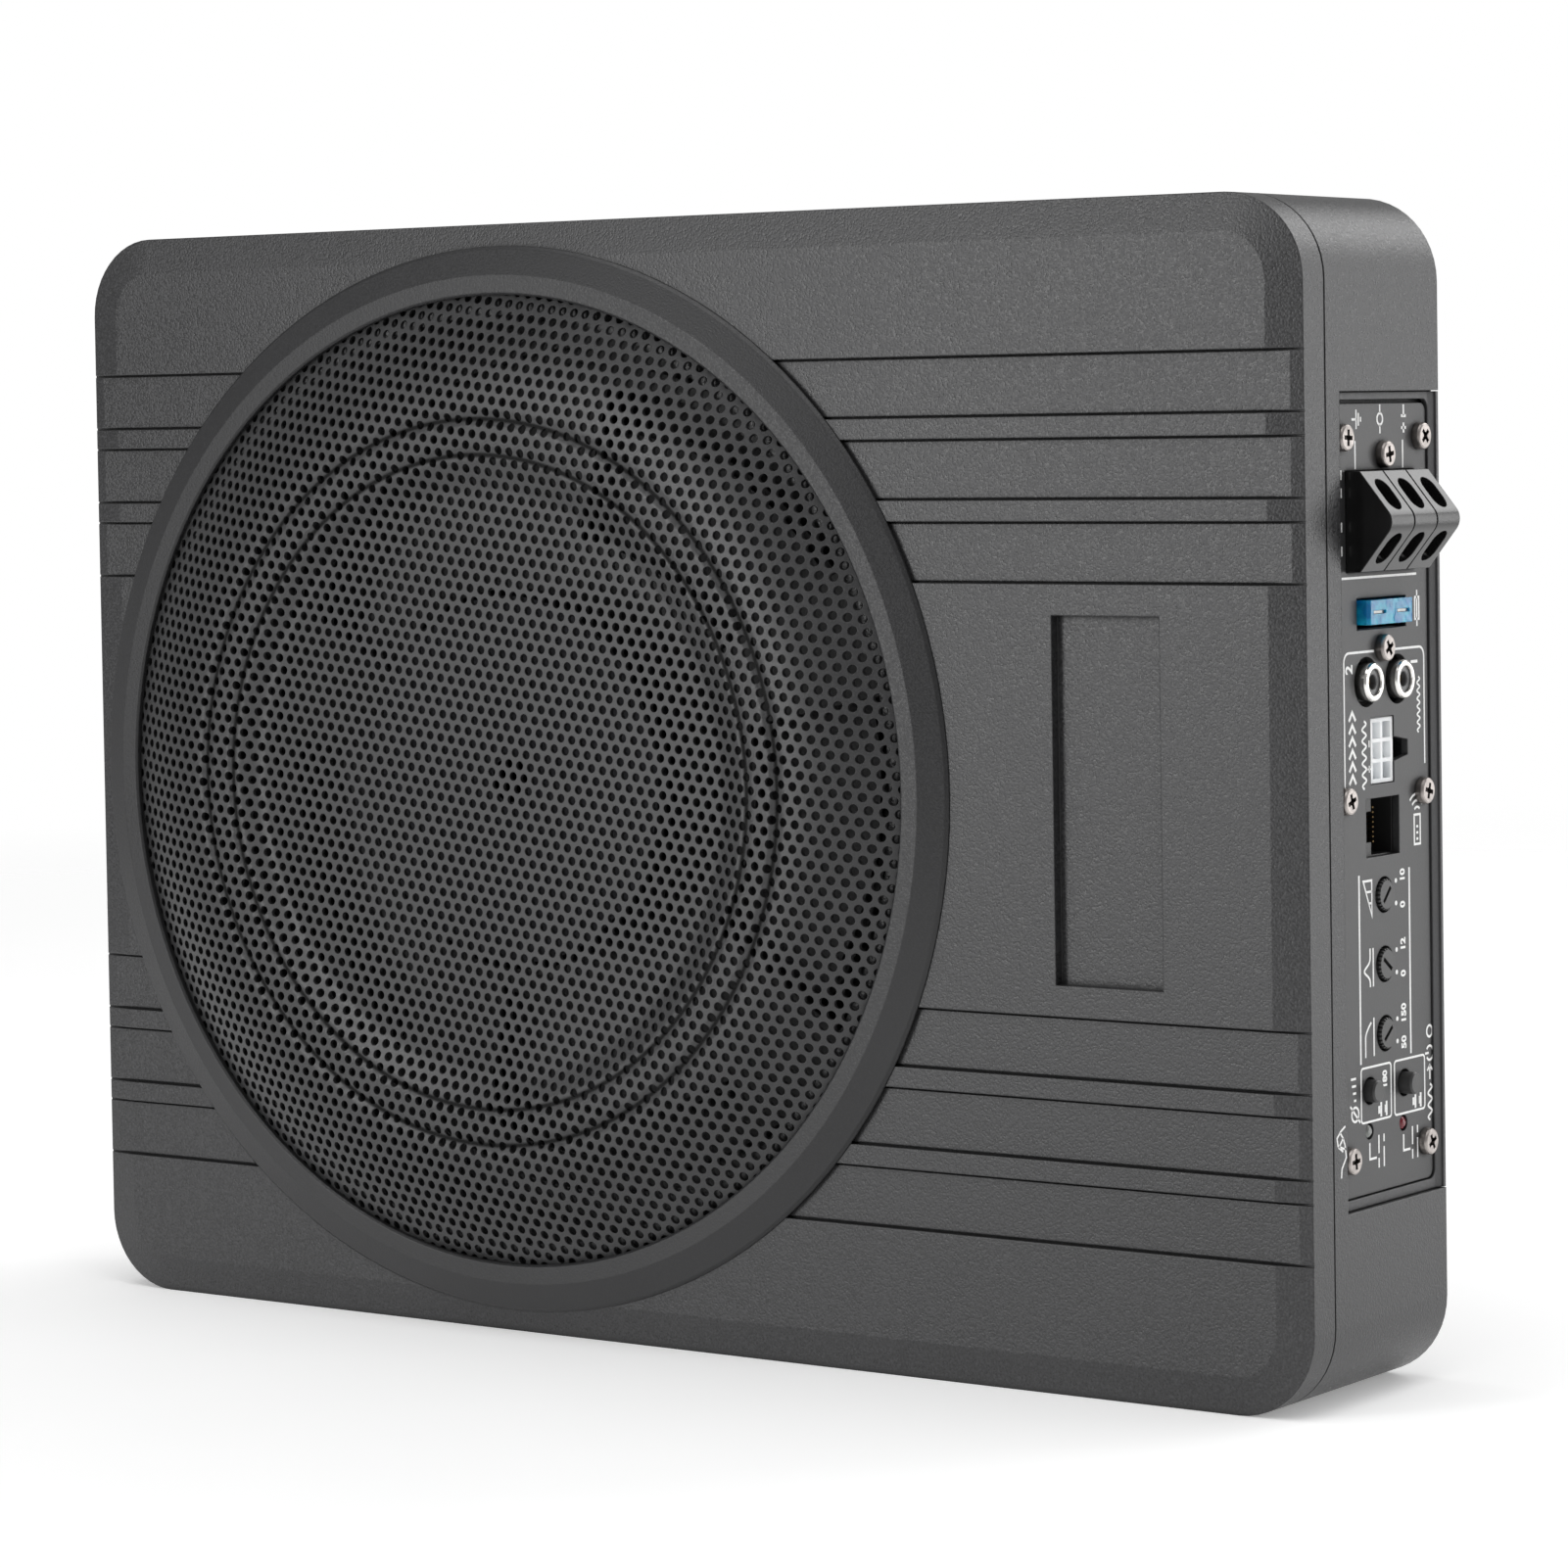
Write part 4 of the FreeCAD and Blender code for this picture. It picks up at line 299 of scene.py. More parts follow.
def cone_paper(name):
    """Coated paper pulp: short fibres pressed every way."""
    colour = (0.03, 0.03, 0.031)
    finish = Finish(name, colour, 0.6)
    fibres = finish.noise(0.5 * MM, 5.0, finish.stretched((1.0, 1.0, 0.35)))
    across = finish.noise(0.6 * MM, 5.0, finish.stretched((0.3, 1.0, 1.0)))
    both = finish.maths("MAXIMUM", fibres, across)
    finish.put("Base Color", finish.blend(finish.between(both, 0.45, 0.8), colour, scaled(colour, 2.4)))
    finish.put("Roughness", finish.spread(both, 0.5, 0.75))
    finish.bump(both, 0.1 * MM)
    return finish.material


def spider_cloth(name):
    """Woven cotton stiffened with resin."""
    colour = (0.42, 0.29, 0.11)
    finish = Finish(name, colour, 0.7)
    threads = [
        finish.add(
            "TexWave", {"Vector": finish.place, "Scale": 1 / (7 * MM), "Distortion": 0.6},
            bands_direction=axis,
        ).outputs["Fac"]
        for axis in ("X", "Z")
    ]
    weave = finish.maths("MULTIPLY", *threads)
    finish.put("Base Color", finish.blend(weave, scaled(colour, 0.55), scaled(colour, 1.3)))
    finish.put("Roughness", finish.spread(weave, 0.8, 0.55))
    finish.bump(weave, 0.12 * MM)
    return finish.material


def board_green(name):
    """Solder mask over copper tracks."""
    mask = (0.01, 0.085, 0.035)
    finish = Finish(name, mask, 0.3)
    cells = finish.add(
        "TexVoronoi", {"Vector": finish.place, "Scale": 1 / (6 * MM)},
        distance="MANHATTAN", feature="F1",
    ).outputs["Distance"]
    tracks = finish.between(finish.maths("PINGPONG", cells, 0.12), 0.055, 0.075)
    finish.put("Base Color", finish.blend(tracks, mask, (0.03, 0.2, 0.07)))
    finish.put("Roughness", finish.spread(finish.noise(3 * MM), 0.22, 0.42))
    finish.bump(tracks, 0.035 * MM, normal=finish.rounded(0.1 * MM))
    return finish.material


def copper(name):
    """Enamelled wire laid in close turns round the Y axis."""
    colour = (0.55, 0.2, 0.07)
    finish = Finish(name, colour, 0.25, Metallic=1.0, Coat_Weight=0.6)
    turns = finish.add(
        "TexWave", {"Vector": finish.place, "Scale": 1 / (5 * MM), "Distortion": 0.3},
        bands_direction="Y",
    ).outputs["Fac"]
    finish.put("Base Color", finish.blend(turns, scaled(colour, 0.35), scaled(colour, 1.2)))
    finish.put("Roughness", finish.spread(turns, 0.45, 0.2))
    finish.bump(turns, 0.2 * MM)
    return finish.material


def ferrite(name):
    """Sintered magnet: dark grey, faintly sparkling, chipped along its edges."""
    colour = (0.05, 0.05, 0.055)
    finish = Finish(name, colour, 0.6)
    crystals = finish.noise(0.4 * MM, 5.0)
    chips = finish.between(finish.noise(2 * MM, 4.0), 0.45, 0.6)
    chips = finish.maths("MULTIPLY", finish.edges(0.8 * MM), chips)
    shade = finish.blend(finish.between(crystals, 0.5, 0.8), colour, scaled(colour, 2.2))
    finish.put("Base Color", finish.blend(chips, shade, scaled(colour, 3.0)))
    finish.put("Roughness", finish.spread(crystals, 0.75, 0.4))
    finish.bump(crystals, 0.04 * MM, normal=finish.rounded(0.4 * MM))
    return finish.material


def ink(name):
    """White screen print, slightly uneven where it is thin."""
    white = (0.86, 0.86, 0.85)
    finish = Finish(name, white, 0.45)
    cover = finish.noise(0.35 * MM, 4.0)
    finish.put("Base Color", finish.blend(finish.between(cover, 0.55, 0.85), white, grey(0.5)))
    finish.put("Roughness", finish.spread(cover, 0.35, 0.6))
    finish.bump(cover, 0.01 * MM)
    return finish.material


# The finish of each of the frame's material slots.
FINISHES = {
    "case_paint": partial(
        paint, colour=(0.022, 0.022, 0.023), roughness=0.35, grain=0.5 * MM, relief=0.1 * MM,
        dust=0.04, contrast=3.2,
    ),
    "cover_steel": partial(
        paint, colour=(0.035, 0.035, 0.037), roughness=0.42, grain=0.6 * MM, relief=0.03 * MM,
    ),
    "foam_gasket": partial(
        rubber, colour=grey(0.008), roughness=0.85, grain=0.4 * MM, relief=0.08 * MM,
    ),
    "black_steel": partial(metal, colour=(0.04, 0.04, 0.043), roughness=0.45, tarnish=0.6),
    "zinc_steel": partial(metal, colour=(0.62, 0.62, 0.6), roughness=0.32),
    "foot_rubber": partial(rubber, colour=grey(0.018)),
    "brass": partial(metal, colour=(0.72, 0.5, 0.2), roughness=0.28, tarnish=0.6),
    "ring_plastic": partial(
        paint, colour=(0.016, 0.016, 0.017), roughness=0.42, grain=0.45 * MM, relief=0.05 * MM,
        dust=0.03, edge=1.5,
    ),
    # The grille's paint, with painted shade along the two folds of its sheet.
    "grille_paint": partial(
        paint, colour=(0.03, 0.03, 0.031), roughness=0.4, grain=0.3 * MM, relief=0.012 * MM,
        edge=1.6, radius=0.16 * MM, folds=[(middle("grille"), fold) for fold in (BEAD_FOLD, DOME_FOLD)],
    ),
    "ferrite": ferrite,
    "basket_paint": partial(
        paint, colour=grey(0.018), roughness=0.42, grain=0.8 * MM, relief=0.04 * MM,
    ),
    "spider_cloth": spider_cloth,
    "cone_paper": cone_paper,
    "former_aluminium": partial(
        metal, colour=(0.7, 0.7, 0.72), roughness=0.3, tarnish=0.8, lines=(1, 12, 1),
    ),
    "copper": copper,
    "panel_paint": partial(
        paint, colour=(0.032, 0.032, 0.033), roughness=0.4, grain=0.4 * MM, relief=0.02 * MM, dust=0.03,
    ),
    "nickel_steel": partial(metal, colour=(0.43, 0.395, 0.375), roughness=0.36, tarnish=0.6),
    "black_gloss": partial(
        plastic, colour=grey(0.009), roughness=0.2, grain=0.7 * MM, relief=0.006 * MM, radius=0.3 * MM,
    ),
    "fuse_plastic": partial(
        clear, colour=(0.0, 0.3, 0.68), roughness=0.05, share=0.5, haze=(0.02, 0.66, 0.98),
    ),
    "black_plastic": partial(plastic, colour=grey(0.014), roughness=0.4),
    "nickel_chrome": partial(
        metal, colour=(0.82, 0.8, 0.77), roughness=0.16, tarnish=0.85, lines=(10, 1, 1),
    ),
    "white_nylon": partial(
        plastic, colour=(0.86, 0.91, 0.95), roughness=0.35, grain=0.7 * MM, relief=0.01 * MM, glow=0.9,
    ),
    "knob_plastic": partial(
        plastic, colour=grey(0.034), roughness=0.36, grain=0.4 * MM, relief=0.02 * MM, radius=0.12 * MM,
    ),
    "clear_lamp": partial(
        clear, colour=(0.6, 0.62, 0.6), roughness=0.06, share=0.7, haze=(0.75, 0.78, 0.75),
    ),
    "red_lamp": partial(
        clear, colour=(0.35, 0.02, 0.04), roughness=0.08, share=0.6, haze=(0.5, 0.05, 0.08),
    ),
    "board_green": board_green,
    "capacitor_sleeve": partial(
        plastic, colour=(0.015, 0.02, 0.05), roughness=0.25, grain=0.8 * MM, relief=0.02 * MM,
    ),
}


def finish_cad_nodes():
    """Gives every CAD node the detailed finish of its material slot."""
    made = {}
    for node in NODES.values():
        for spot in node.material_slots:
            slot = spot.material.name.split(".")[0]
            if slot not in made:
                made[slot] = FINISHES[slot](slot)
            spot.material = made[slot]
    shaded = {
        "remote_contacts": metal("contact_gold", (0.16, 0.11, 0.05), roughness=0.42),
        "phono_insulators": plastic("socket_grey", (0.09, 0.09, 0.092), roughness=0.3),
    }
    for name, finish in shaded.items():
        NODES[name].material_slots[0].material = finish
    return made


# ---------------------------------------------------------------- mesh helpers


def new_object(name, mesh, material, body="cabinet", smooth=None):
    """Makes an object of a bmesh, which rides on a body and takes its finish from a slot."""
    bmesh.ops.recalc_face_normals(mesh, faces=mesh.faces)
    data = bpy.data.meshes.new(name)
    mesh.to_mesh(data)
    mesh.free()
    data.materials.append(material)
    if smooth is not None:
        data.shade_smooth()
        data.set_sharp_from_angle(angle=math.radians(smooth))
    made = bpy.data.objects.new(name, data)
    bpy.context.scene.collection.objects.link(made)
    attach(made, body)
    return made


# ---------------------------------------------------------------- perforated grille


PITCH = 3.08 * MM
HOLE = 1.02 * MM
LATTICE_TURN = math.radians(-7.8)
CELL_STEPS = 12
SHEET = 1.0 * MM
SPLIT = 75.0 * MM  # the sheet's middle and its dome are two pieces that meet here
RIM_DROP = 1.6 * MM  # the flat rim lies this far behind the front of the ring
RIM_WIDTH = 4.7 * MM  # of the flat rim, from the end of the dome to the skirt
BLANK_EDGE = 1.84 * MM  # no hole's centre is nearer to the skirt than this

# Radius and depth behind the dome's crest: the dished middle, a narrow bead with a fold on either
# side of it, and the start of the dome. FOLD is half the width of a fold's bottom.
FOLD = 0.4 * MM
PROFILE = (
    (0.0, 2.3 * MM), (65.6 * MM, 2.3 * MM), (67.2 * MM, 2.0 * MM), (72.3 * MM, 0.4 * MM),
    (BEAD_FOLD - FOLD, 0.6 * MM), (BEAD_FOLD + FOLD, 0.6 * MM),
    (74.8 * MM, 0.1 * MM), (80.0 * MM, 0.05 * MM),
    (DOME_FOLD - FOLD, 0.7 * MM), (DOME_FOLD + FOLD, 0.7 * MM), (83.0 * MM, 0.1 * MM),
)


class Grille:
    """Where the perforated sheet runs, worked out from the CAD node's box."""

    def __init__(self):
        low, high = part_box("grille")
        self.centre = (low + high) / 2
        self.skirt = (high.x - low.x) / 2
        self.base = high.y
        self.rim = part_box("grille_ring")[0].y + RIM_DROP
        self.reach = self.skirt - BLANK_EDGE
        self.profile = [(radius, low.y + behind) for radius, behind in PROFILE]

    def level(self, radius):
        """Y of the sheet's front face at a radius."""
        inner, inner_level = self.profile[-1]
        outer = self.skirt - RIM_WIDTH
        if radius >= outer:
            return self.rim
        if radius > inner:
            share = (outer - radius) / (outer - inner)
            return self.rim - (self.rim - inner_level) * math.sin(math.pi / 2 * share)
        stretches = zip(self.profile, self.profile[1:])
        (start, level), (end, end_level) = next(pair for pair in stretches if radius <= pair[1][0])
        return level + (end_level - level) * (radius - start) / (end - start)

    def point(self, spot, depth):
        return Vector((self.centre.x + spot.x, self.level(spot.length) + depth, self.centre.z + spot.y))


def turned(angle):
    """The direction at an angle from the lattice's rows."""
    return Vector((math.cos(LATTICE_TURN + angle), math.sin(LATTICE_TURN + angle)))


def lattice(reach):
    """Centres of the staggered holes within a radius."""
    along = turned(0.0) * PITCH
    across = turned(math.pi / 3) * PITCH
    count = int(reach / PITCH / math.sin(math.pi / 3)) + 1
    for i in range(-count, count + 1):
        for j in range(-count, count + 1):
            spot = along * i + across * j
            if spot.length <= reach:
                yield spot


def cell_direction(step):
    """The directions of a cell's corners, at even steps, and of the middles of its sides."""
    return turned(math.pi / 6 + step * 2 * math.pi / CELL_STEPS)


def cell_edge(step):
    """Offset from a hole's centre to the outline of its cell."""
    return cell_direction(step) * (PITCH / 2 if step % 2 else PITCH / math.sqrt(3))


def lattice_key(spot):
    """Names a corner or the middle of a side by its place in the rows, in sixths of a pitch."""
    across = spot.dot(turned(math.pi / 2)) / math.sin(math.pi / 3)
    return round(6 * (spot.dot(turned(0.0)) - across / 2) / PITCH), round(6 * across / PITCH)


class Sheet:
    """A closed sheet made of cells with a real hole in each; cells that touch share their corners."""

    def __init__(self):
        self.grille = Grille()
        self.mesh = bmesh.new()
        self.shared = {}
        self.borders = {}

    def vertex(self, key, place):
        if key not in self.shared:
            self.shared[key] = self.mesh.verts.new(place)
        return self.shared[key]

    def corner(self, spot, depth):
        return self.vertex((lattice_key(spot), depth), self.grille.point(spot, depth))

    def add_cell(self, centre):
        """Front, back and hole of a cell. `borders` holds the sides that only one cell has so far."""
        outline = [centre + cell_edge(k) for k in range(CELL_STEPS)]
        hole = [centre + cell_direction(k) * HOLE for k in range(CELL_STEPS)]
        front, back = (
            [self.mesh.verts.new(self.grille.point(spot, depth)) for spot in hole] for depth in (0.0, SHEET)
        )
        front_edge, back_edge = ([self.corner(spot, depth) for spot in outline] for depth in (0.0, SHEET))
        for k in range(CELL_STEPS):
            n = (k + 1) % CELL_STEPS
            self.mesh.faces.new((front_edge[k], front_edge[n], front[n], front[k]))
            self.mesh.faces.new((back_edge[n], back_edge[k], back[k], back[n]))
            self.mesh.faces.new((front[k], front[n], back[n], back[k]))
            side = frozenset((front_edge[k], front_edge[n]))
            if side in self.borders:
                del self.borders[side]
            else:
                self.borders[side] = (outline[k], outline[n])

    def column(self, spot):
        """From front to back where the sheet ends: straight through, or round the rim and skirt."""
        front, back = self.corner(spot, 0.0), self.corner(spot, SHEET)
        if spot.length < SPLIT + PITCH:
            return [front, back]
        grille = self.grille
        around = []
        for radius, level in (
            (grille.skirt, grille.rim), (grille.skirt, grille.base),
            (grille.skirt - SHEET, grille.base), (grille.skirt - SHEET, grille.rim + SHEET),
        ):
            out = spot.normalized() * radius
            place = (grille.centre.x + out.x, level, grille.centre.z + out.y)
            around.append(self.vertex((lattice_key(spot), radius, level), place))
        return [front, *around, back]

    def close(self):
        """Walls off the sides that only one cell has."""
        for start, end in self.borders.values():
            first, second = self.column(start), self.column(end)
            for k in range(len(first) - 1):
                self.mesh.faces.new((first[k], second[k], second[k + 1], first[k + 1]))


def make_grille(material):
    """The perforated sheet, in two pieces."""
    pieces = (
        ("grille_disc", lambda radius: radius < SPLIT),
        ("grille_dome", lambda radius: radius >= SPLIT),
    )
    for name, belongs in pieces:
        sheet = Sheet()
        for centre in lattice(sheet.grille.reach):
            if belongs(centre.length):
                sheet.add_cell(centre)
        sheet.close()
        piece = new_object(name, sheet.mesh, material, smooth=40)
        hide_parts("grille")


# ---------------------------------------------------------------- panel printing


LINE = 0.5 * MM
INK_THICK = 0.03 * MM


class Print:
    """Marks printed on the control panel, drawn in its plane as thin closed solids.

    A mark's own u runs up the panel, along Z, and its v runs towards the front, along -Y.
    """

    def __init__(self, node="control_panel"):
        self.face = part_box(node)[1].x
        self.mesh = bmesh.new()

    def lifted(self, outline, up):
        return [self.mesh.verts.new((self.face + up, y, z)) for y, z in outline]

    def shape(self, outline):
        """A filled outline of (y, z) points."""
        top, foot = self.lifted(outline, INK_THICK), self.lifted(outline, 0.0)
        self.mesh.faces.new(top)
        self.mesh.faces.new(foot[::-1])
        for k in range(len(outline)):
            n = (k + 1) % len(outline)
            self.mesh.faces.new((top[k], foot[k], foot[n], top[n]))

    def line(self, points, width=LINE, closed=False):
        """A band along (y, z) points, mitred at its corners; points that repeat are left out."""
        points = [Vector(p) for p in points]
        points = [p for k, p in enumerate(points) if k == 0 or (p - points[k - 1]).length > 0.001 * MM]
        count = len(points)
        sides = ([], [])
        for k, here in enumerate(points):
            before = points[k - 1] if closed or k else None
            after = points[(k + 1) % count] if closed or k < count - 1 else None
            came = (here - before).normalized() if before is not None else (after - here).normalized()
            goes = (after - here).normalized() if after is not None else came
            square = Vector((-came.y - goes.y, came.x + goes.x)).normalized()
            narrowing = max(0.4, square.dot(Vector((-came.y, came.x))))  # keeps sharp corners short
            mitre = square * (width / 2 / narrowing)
            sides[0].append(here + mitre)
            sides[1].append(here - mitre)
        levels = [[self.lifted(side, up) for side in sides] for up in (INK_THICK, 0.0)]
        (left, right), (low_left, low_right) = levels
        for k in range(count if closed else count - 1):
            n = (k + 1) % count
            self.mesh.faces.new((left[k], right[k], right[n], left[n]))
            self.mesh.faces.new((low_left[n], low_right[n], low_right[k], low_left[k]))
            self.mesh.faces.new((left[k], left[n], low_left[n], low_left[k]))
            self.mesh.faces.new((right[n], right[k], low_right[k], low_right[n]))
        if not closed:
            for k in (0, count - 1):
                self.mesh.faces.new((left[k], low_left[k], low_right[k], right[k]))

    def dot(self, y, z, radius):
        self.shape(circle(y, z, radius))

    def bar(self, front, rear, z, tall):
        """A filled rectangle, centred on z."""
        low, high = z - tall / 2, z + tall / 2
        self.shape([(front, low), (rear, low), (rear, high), (front, high)])

    def drawn(self, centre, strokes, width=LINE, size=MM):
        """Strokes given as (u, v) lists round a centre (y, z), in units of `size`."""
        for stroke in strokes:
            closed = stroke[0] == stroke[-1]
            points = [(centre[0] - v * size, centre[1] + u * size) for u, v in stroke]
            self.line(points[:-1] if closed else points, width, closed)


def circle(y, z, radius, start=0.0, turn=360.0, sides=20):
    """Points round a circle, or along an arc of `turn` degrees."""
    whole = turn == 360.0
    angles = [math.radians(start + turn * k / sides) for k in range(sides if whole else sides + 1)]
    return [(y + radius * math.cos(a), z + radius * math.sin(a)) for a in angles]


def rounded_box(y, z, rear, top, radius):
    """Points round a box with round corners, from one corner to the opposite one."""
    points = []
    for centre, start in (
        ((rear - radius, top - radius), 0), ((y + radius, top - radius), 90),
        ((y + radius, z + radius), 180), ((rear - radius, z + radius), 270),
    ):
        points += circle(*centre, radius, start, 90, 5)
    return points


def loop(radius, sides=16):
    """A closed ring as a stroke."""
    points = circle(0.0, 0.0, radius, sides=sides)
    return points + points[:1]


def rectangle(low_u, low_v, high_u, high_v):
    """A closed box as a stroke."""
    return [(low_u, low_v), (high_u, low_v), (high_u, high_v), (low_u, high_v), (low_u, low_v)]


def wave(long, tall, periods):
    """A sine wave as a stroke."""
    sides = 12 * periods
    return [
        (long * (k / sides - 0.5), tall * math.sin(2 * math.pi * periods * k / sides))
        for k in range(sides + 1)
    ]


# Symbols as strokes of (u, v) points: u runs up the panel and v towards the front.
GROUND = [
    [(0, 1.9), (0, 0)],
    [(-2.0, 0), (2.0, 0)], [(-1.3, -0.95), (1.3, -0.95)], [(-0.5, -1.9), (0.5, -1.9)],
]
TRIGGER = [loop(1.2), [(1.2, 0), (3.0, 0)], [(-1.2, 0), (-3.0, 0)]]
MINUS = [[(-1.1, 0), (1.1, 0)]]
PLUS = [*MINUS, [(0, -1.1), (0, 1.1)]]
SUPPLY = [
    [(-3.1, 0), (-0.9, 0)], [(-2.0, -1.1), (-2.0, 1.1)],
    [(0.6, -1.1), (0.6, 1.1)], [(0.6, 0), (3.1, 0)],
]
FUSE = [rectangle(-2.3, -0.9, 2.3, 0.9), [(-3.8, 0), (3.8, 0)]]
DASH = [[(-1.0, 0), (1.0, 0)]]
ARROWS = [[(u - 0.9, 1.4), (u + 0.9, 0), (u - 0.9, -1.4)] for u in (-6.6, -4.0, -1.4, 1.2, 3.8, 6.4)]
HANDSET = [rectangle(-5.2, -1.3, 1.0, 1.3)]
HANDSET += [[(u, -0.4), (u, 0.4)] for u in (-4.1, -2.8, -1.5)]
HANDSET += [circle(1.0, 0, reach, 45, -90, 8) for reach in (1.6, 3.0, 4.4)]
GAIN = [
    [(-3.7, -1.7), (3.7, -1.7), (3.7, 1.9), (-3.7, -1.7)],
    [(1.4, -1.7), (1.4, 0.7)], [(-1.0, -1.7), (-1.0, -0.4)],
]
AXIS = [(-3.9, -2.0), (4.1, -2.0)]
BOOST = [[(-3.9 + 0.4 * k, -0.7 + 2.5 * math.exp(-((0.4 * k - 3.4) / 1.2) ** 2)) for k in range(21)], AXIS]
LOW_PASS = [
    [(-3.9, 1.6), (0.2, 1.6)] + [(0.2 + 0.5 * k, 1.6 - 2.5 * (k / 6) ** 1.6) for k in range(1, 7)], AXIS,
]
PHASE = [loop(1.5, 18), [(-1.9, -2.1), (1.9, 2.1)]]
STEPS = [[(u, 0), (u, tall)] for u, tall in ((-2.2, 0.9), (-0.7, 1.3), (0.8, 1.7), (2.3, 2.1))]
POWER = [circle(0, 0, 1.5, 125, 290, 16), [(0, 0.4), (0, 2.0)]]
ARROW = [[(-1.5, 0), (1.5, 0)], [(0.4, 1.1), (1.5, 0), (0.4, -1.1)]]
DASHES = [
    [(-3.4, 1.1), (-1.4, 1.1)], [(-0.4, 1.1), (3.4, 1.1)],
    [(-3.4, -1.1), (0.8, -1.1)], [(1.8, -1.1), (3.4, -1.1)],
]


def print_supply_marks(layer, mid):
    """Lines and symbols round the terminal block, and the fuse's symbol."""
    low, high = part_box("terminal_block")
    for y in (mid - 10.5 * MM, mid + 9.9 * MM):
        layer.line([(y, high.z + 0.4 * MM), (y, high.z + 6.2 * MM)], 0.55 * MM)
    below, above = low.z - 1.3 * MM, high.z + 10.6 * MM
    layer.line([(mid - 16.7 * MM, below), (mid + 15.3 * MM, below)])
    layer.drawn((mid - 9.9 * MM, above), GROUND)
    layer.drawn((mid + 0.2 * MM, above), TRIGGER)
    layer.drawn((mid + 10.4 * MM, above), SUPPLY, 0.6 * MM, 0.95 * MM)
    layer.drawn((mid + 15.4 * MM, middle("fuse_case").z), FUSE)
    for z in (high.z - 0.7 * MM, high.z - 4.4 * MM, low.z + 9.2 * MM, low.z + 4.3 * MM):
        layer.drawn((mid - 16.5 * MM, z), DASH)


def print_input_frame(layer, mid):
    """A line round the inputs, open at the bottom and round the screw at the top."""
    left, right, gap = mid - 16.2 * MM, mid + 18.2 * MM, 3.4 * MM
    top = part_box("phono_shells")[1].z + 2.2 * MM
    turn = 2.0 * MM
    corner = circle(left + turn, top - turn, turn, 180, -90, 6)
    layer.line([(left, top - 27.6 * MM), (left, top - turn), *corner, (mid - gap, top)])
    corner = circle(right - turn, top - turn, turn, 90, -90, 6)
    layer.line([(mid + gap, top), (right - turn, top), *corner, (right, top - 24.6 * MM)])


def print_input_marks(layer, mid):
    """Arrows, waves and poles beside the inputs, and a handset beside the remote control's jack."""
    header = middle("input_header")
    layer.drawn((mid - 12.9 * MM, header.z + 1.2 * MM), ARROWS, 0.7 * MM)
    layer.drawn((header.y - 8.5 * MM, header.z - 0.6 * MM), [wave(14.0, 0.85, 6)])
    for up, pole in ((-3.6 * MM, PLUS), (1.6 * MM, MINUS)):
        layer.drawn((header.y - 6.4 * MM, header.z + up), pole, 0.4 * MM, 0.65 * MM)
    under_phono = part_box("phono_shells")[0].z - 1.8 * MM
    layer.drawn((mid + 15.7 * MM, under_phono), [wave(11.6, 0.6, 7)], 0.42 * MM)
    layer.drawn((mid + 14.6 * MM, middle("remote_jack").z + 0.4 * MM), HANDSET)


def print_knob_marks(layer, mid):
    """Lines beside the knobs, and at each knob a symbol and a dot at either end of its scale."""
    gain, boost, crossover = (middle(name) for name in ("gain_knob", "boost_knob", "crossover_knob"))
    for y in (mid - 10.8 * MM, mid + 10.8 * MM):
        layer.line([(y, gain.z + 4.8 * MM), (y, crossover.z - 5.4 * MM)], 0.6 * MM)
    for knob, symbol in ((gain, GAIN), (boost, BOOST), (crossover, LOW_PASS)):
        layer.drawn((mid - 7.1 * MM, knob.z - 0.3 * MM), symbol)
        for up in (2.5 * MM, -2.2 * MM):
            layer.dot(mid + 5.0 * MM, knob.z + up, 0.5 * MM)


def print_button_boxes(layer):
    """A box with round corners at each button, with little drawings of it out and pressed in."""
    for name, front, rear in (("phase_button", 3.8, 9.0), ("power_button", 4.4, 8.8)):
        button = middle(name)
        low, high, foot = button.z - 6.4 * MM, button.z + 4.9 * MM, button.z - 4.4 * MM
        box = rounded_box(button.y - front * MM, low, button.y + rear * MM, high, 0.8 * MM)
        layer.line(box, 0.45 * MM, closed=True)
        for shift, proud in ((4.3, 0.9), (6.6, 0.45)):
            y = button.y + shift * MM
            layer.bar(y, y + 0.7 * MM, foot, 3.0 * MM)
            layer.bar(y - proud * MM, y - 0.1 * MM, foot, 1.6 * MM)


def print_button_marks(layer):
    """Symbols beside the two buttons."""
    phase, power = middle("phase_button"), middle("power_button")
    layer.drawn((phase.y - 6.4 * MM, phase.z - 4.2 * MM), PHASE)
    layer.drawn((phase.y - 6.0 * MM, phase.z + 0.9 * MM), STEPS)
    beside = power.y + 11.1 * MM
    for up, symbol in ((-5.4, [wave(7.6, 0.85, 3)]), (0.9, ARROW), (5.0, POWER), (9.6, [loop(1.2)])):
        layer.drawn((beside, power.z + up * MM), symbol)


def print_lamp_marks(layer):
    """A bent line from each lamp to its dashes."""
    for name in ("power_lamp", "protect_lamp"):
        lamp = middle(name)
        foot = lamp.z - 5.8 * MM
        layer.line([(lamp.y, lamp.z - 2.4 * MM), (lamp.y, foot), (lamp.y + 2.9 * MM, foot)])
        layer.drawn((lamp.y + 5.0 * MM, lamp.z - 4.6 * MM), DASHES)


def make_panel_print(material):
    """White lines, dots and symbols around the panel's sockets and controls."""
    layer = Print()
    mid = middle("gain_knob").y
    print_supply_marks(layer, mid)
    print_input_frame(layer, mid)
    print_input_marks(layer, mid)
    print_knob_marks(layer, mid)
    print_button_boxes(layer)
    print_button_marks(layer)
    print_lamp_marks(layer)
    return new_object("panel_print", layer.mesh, material)


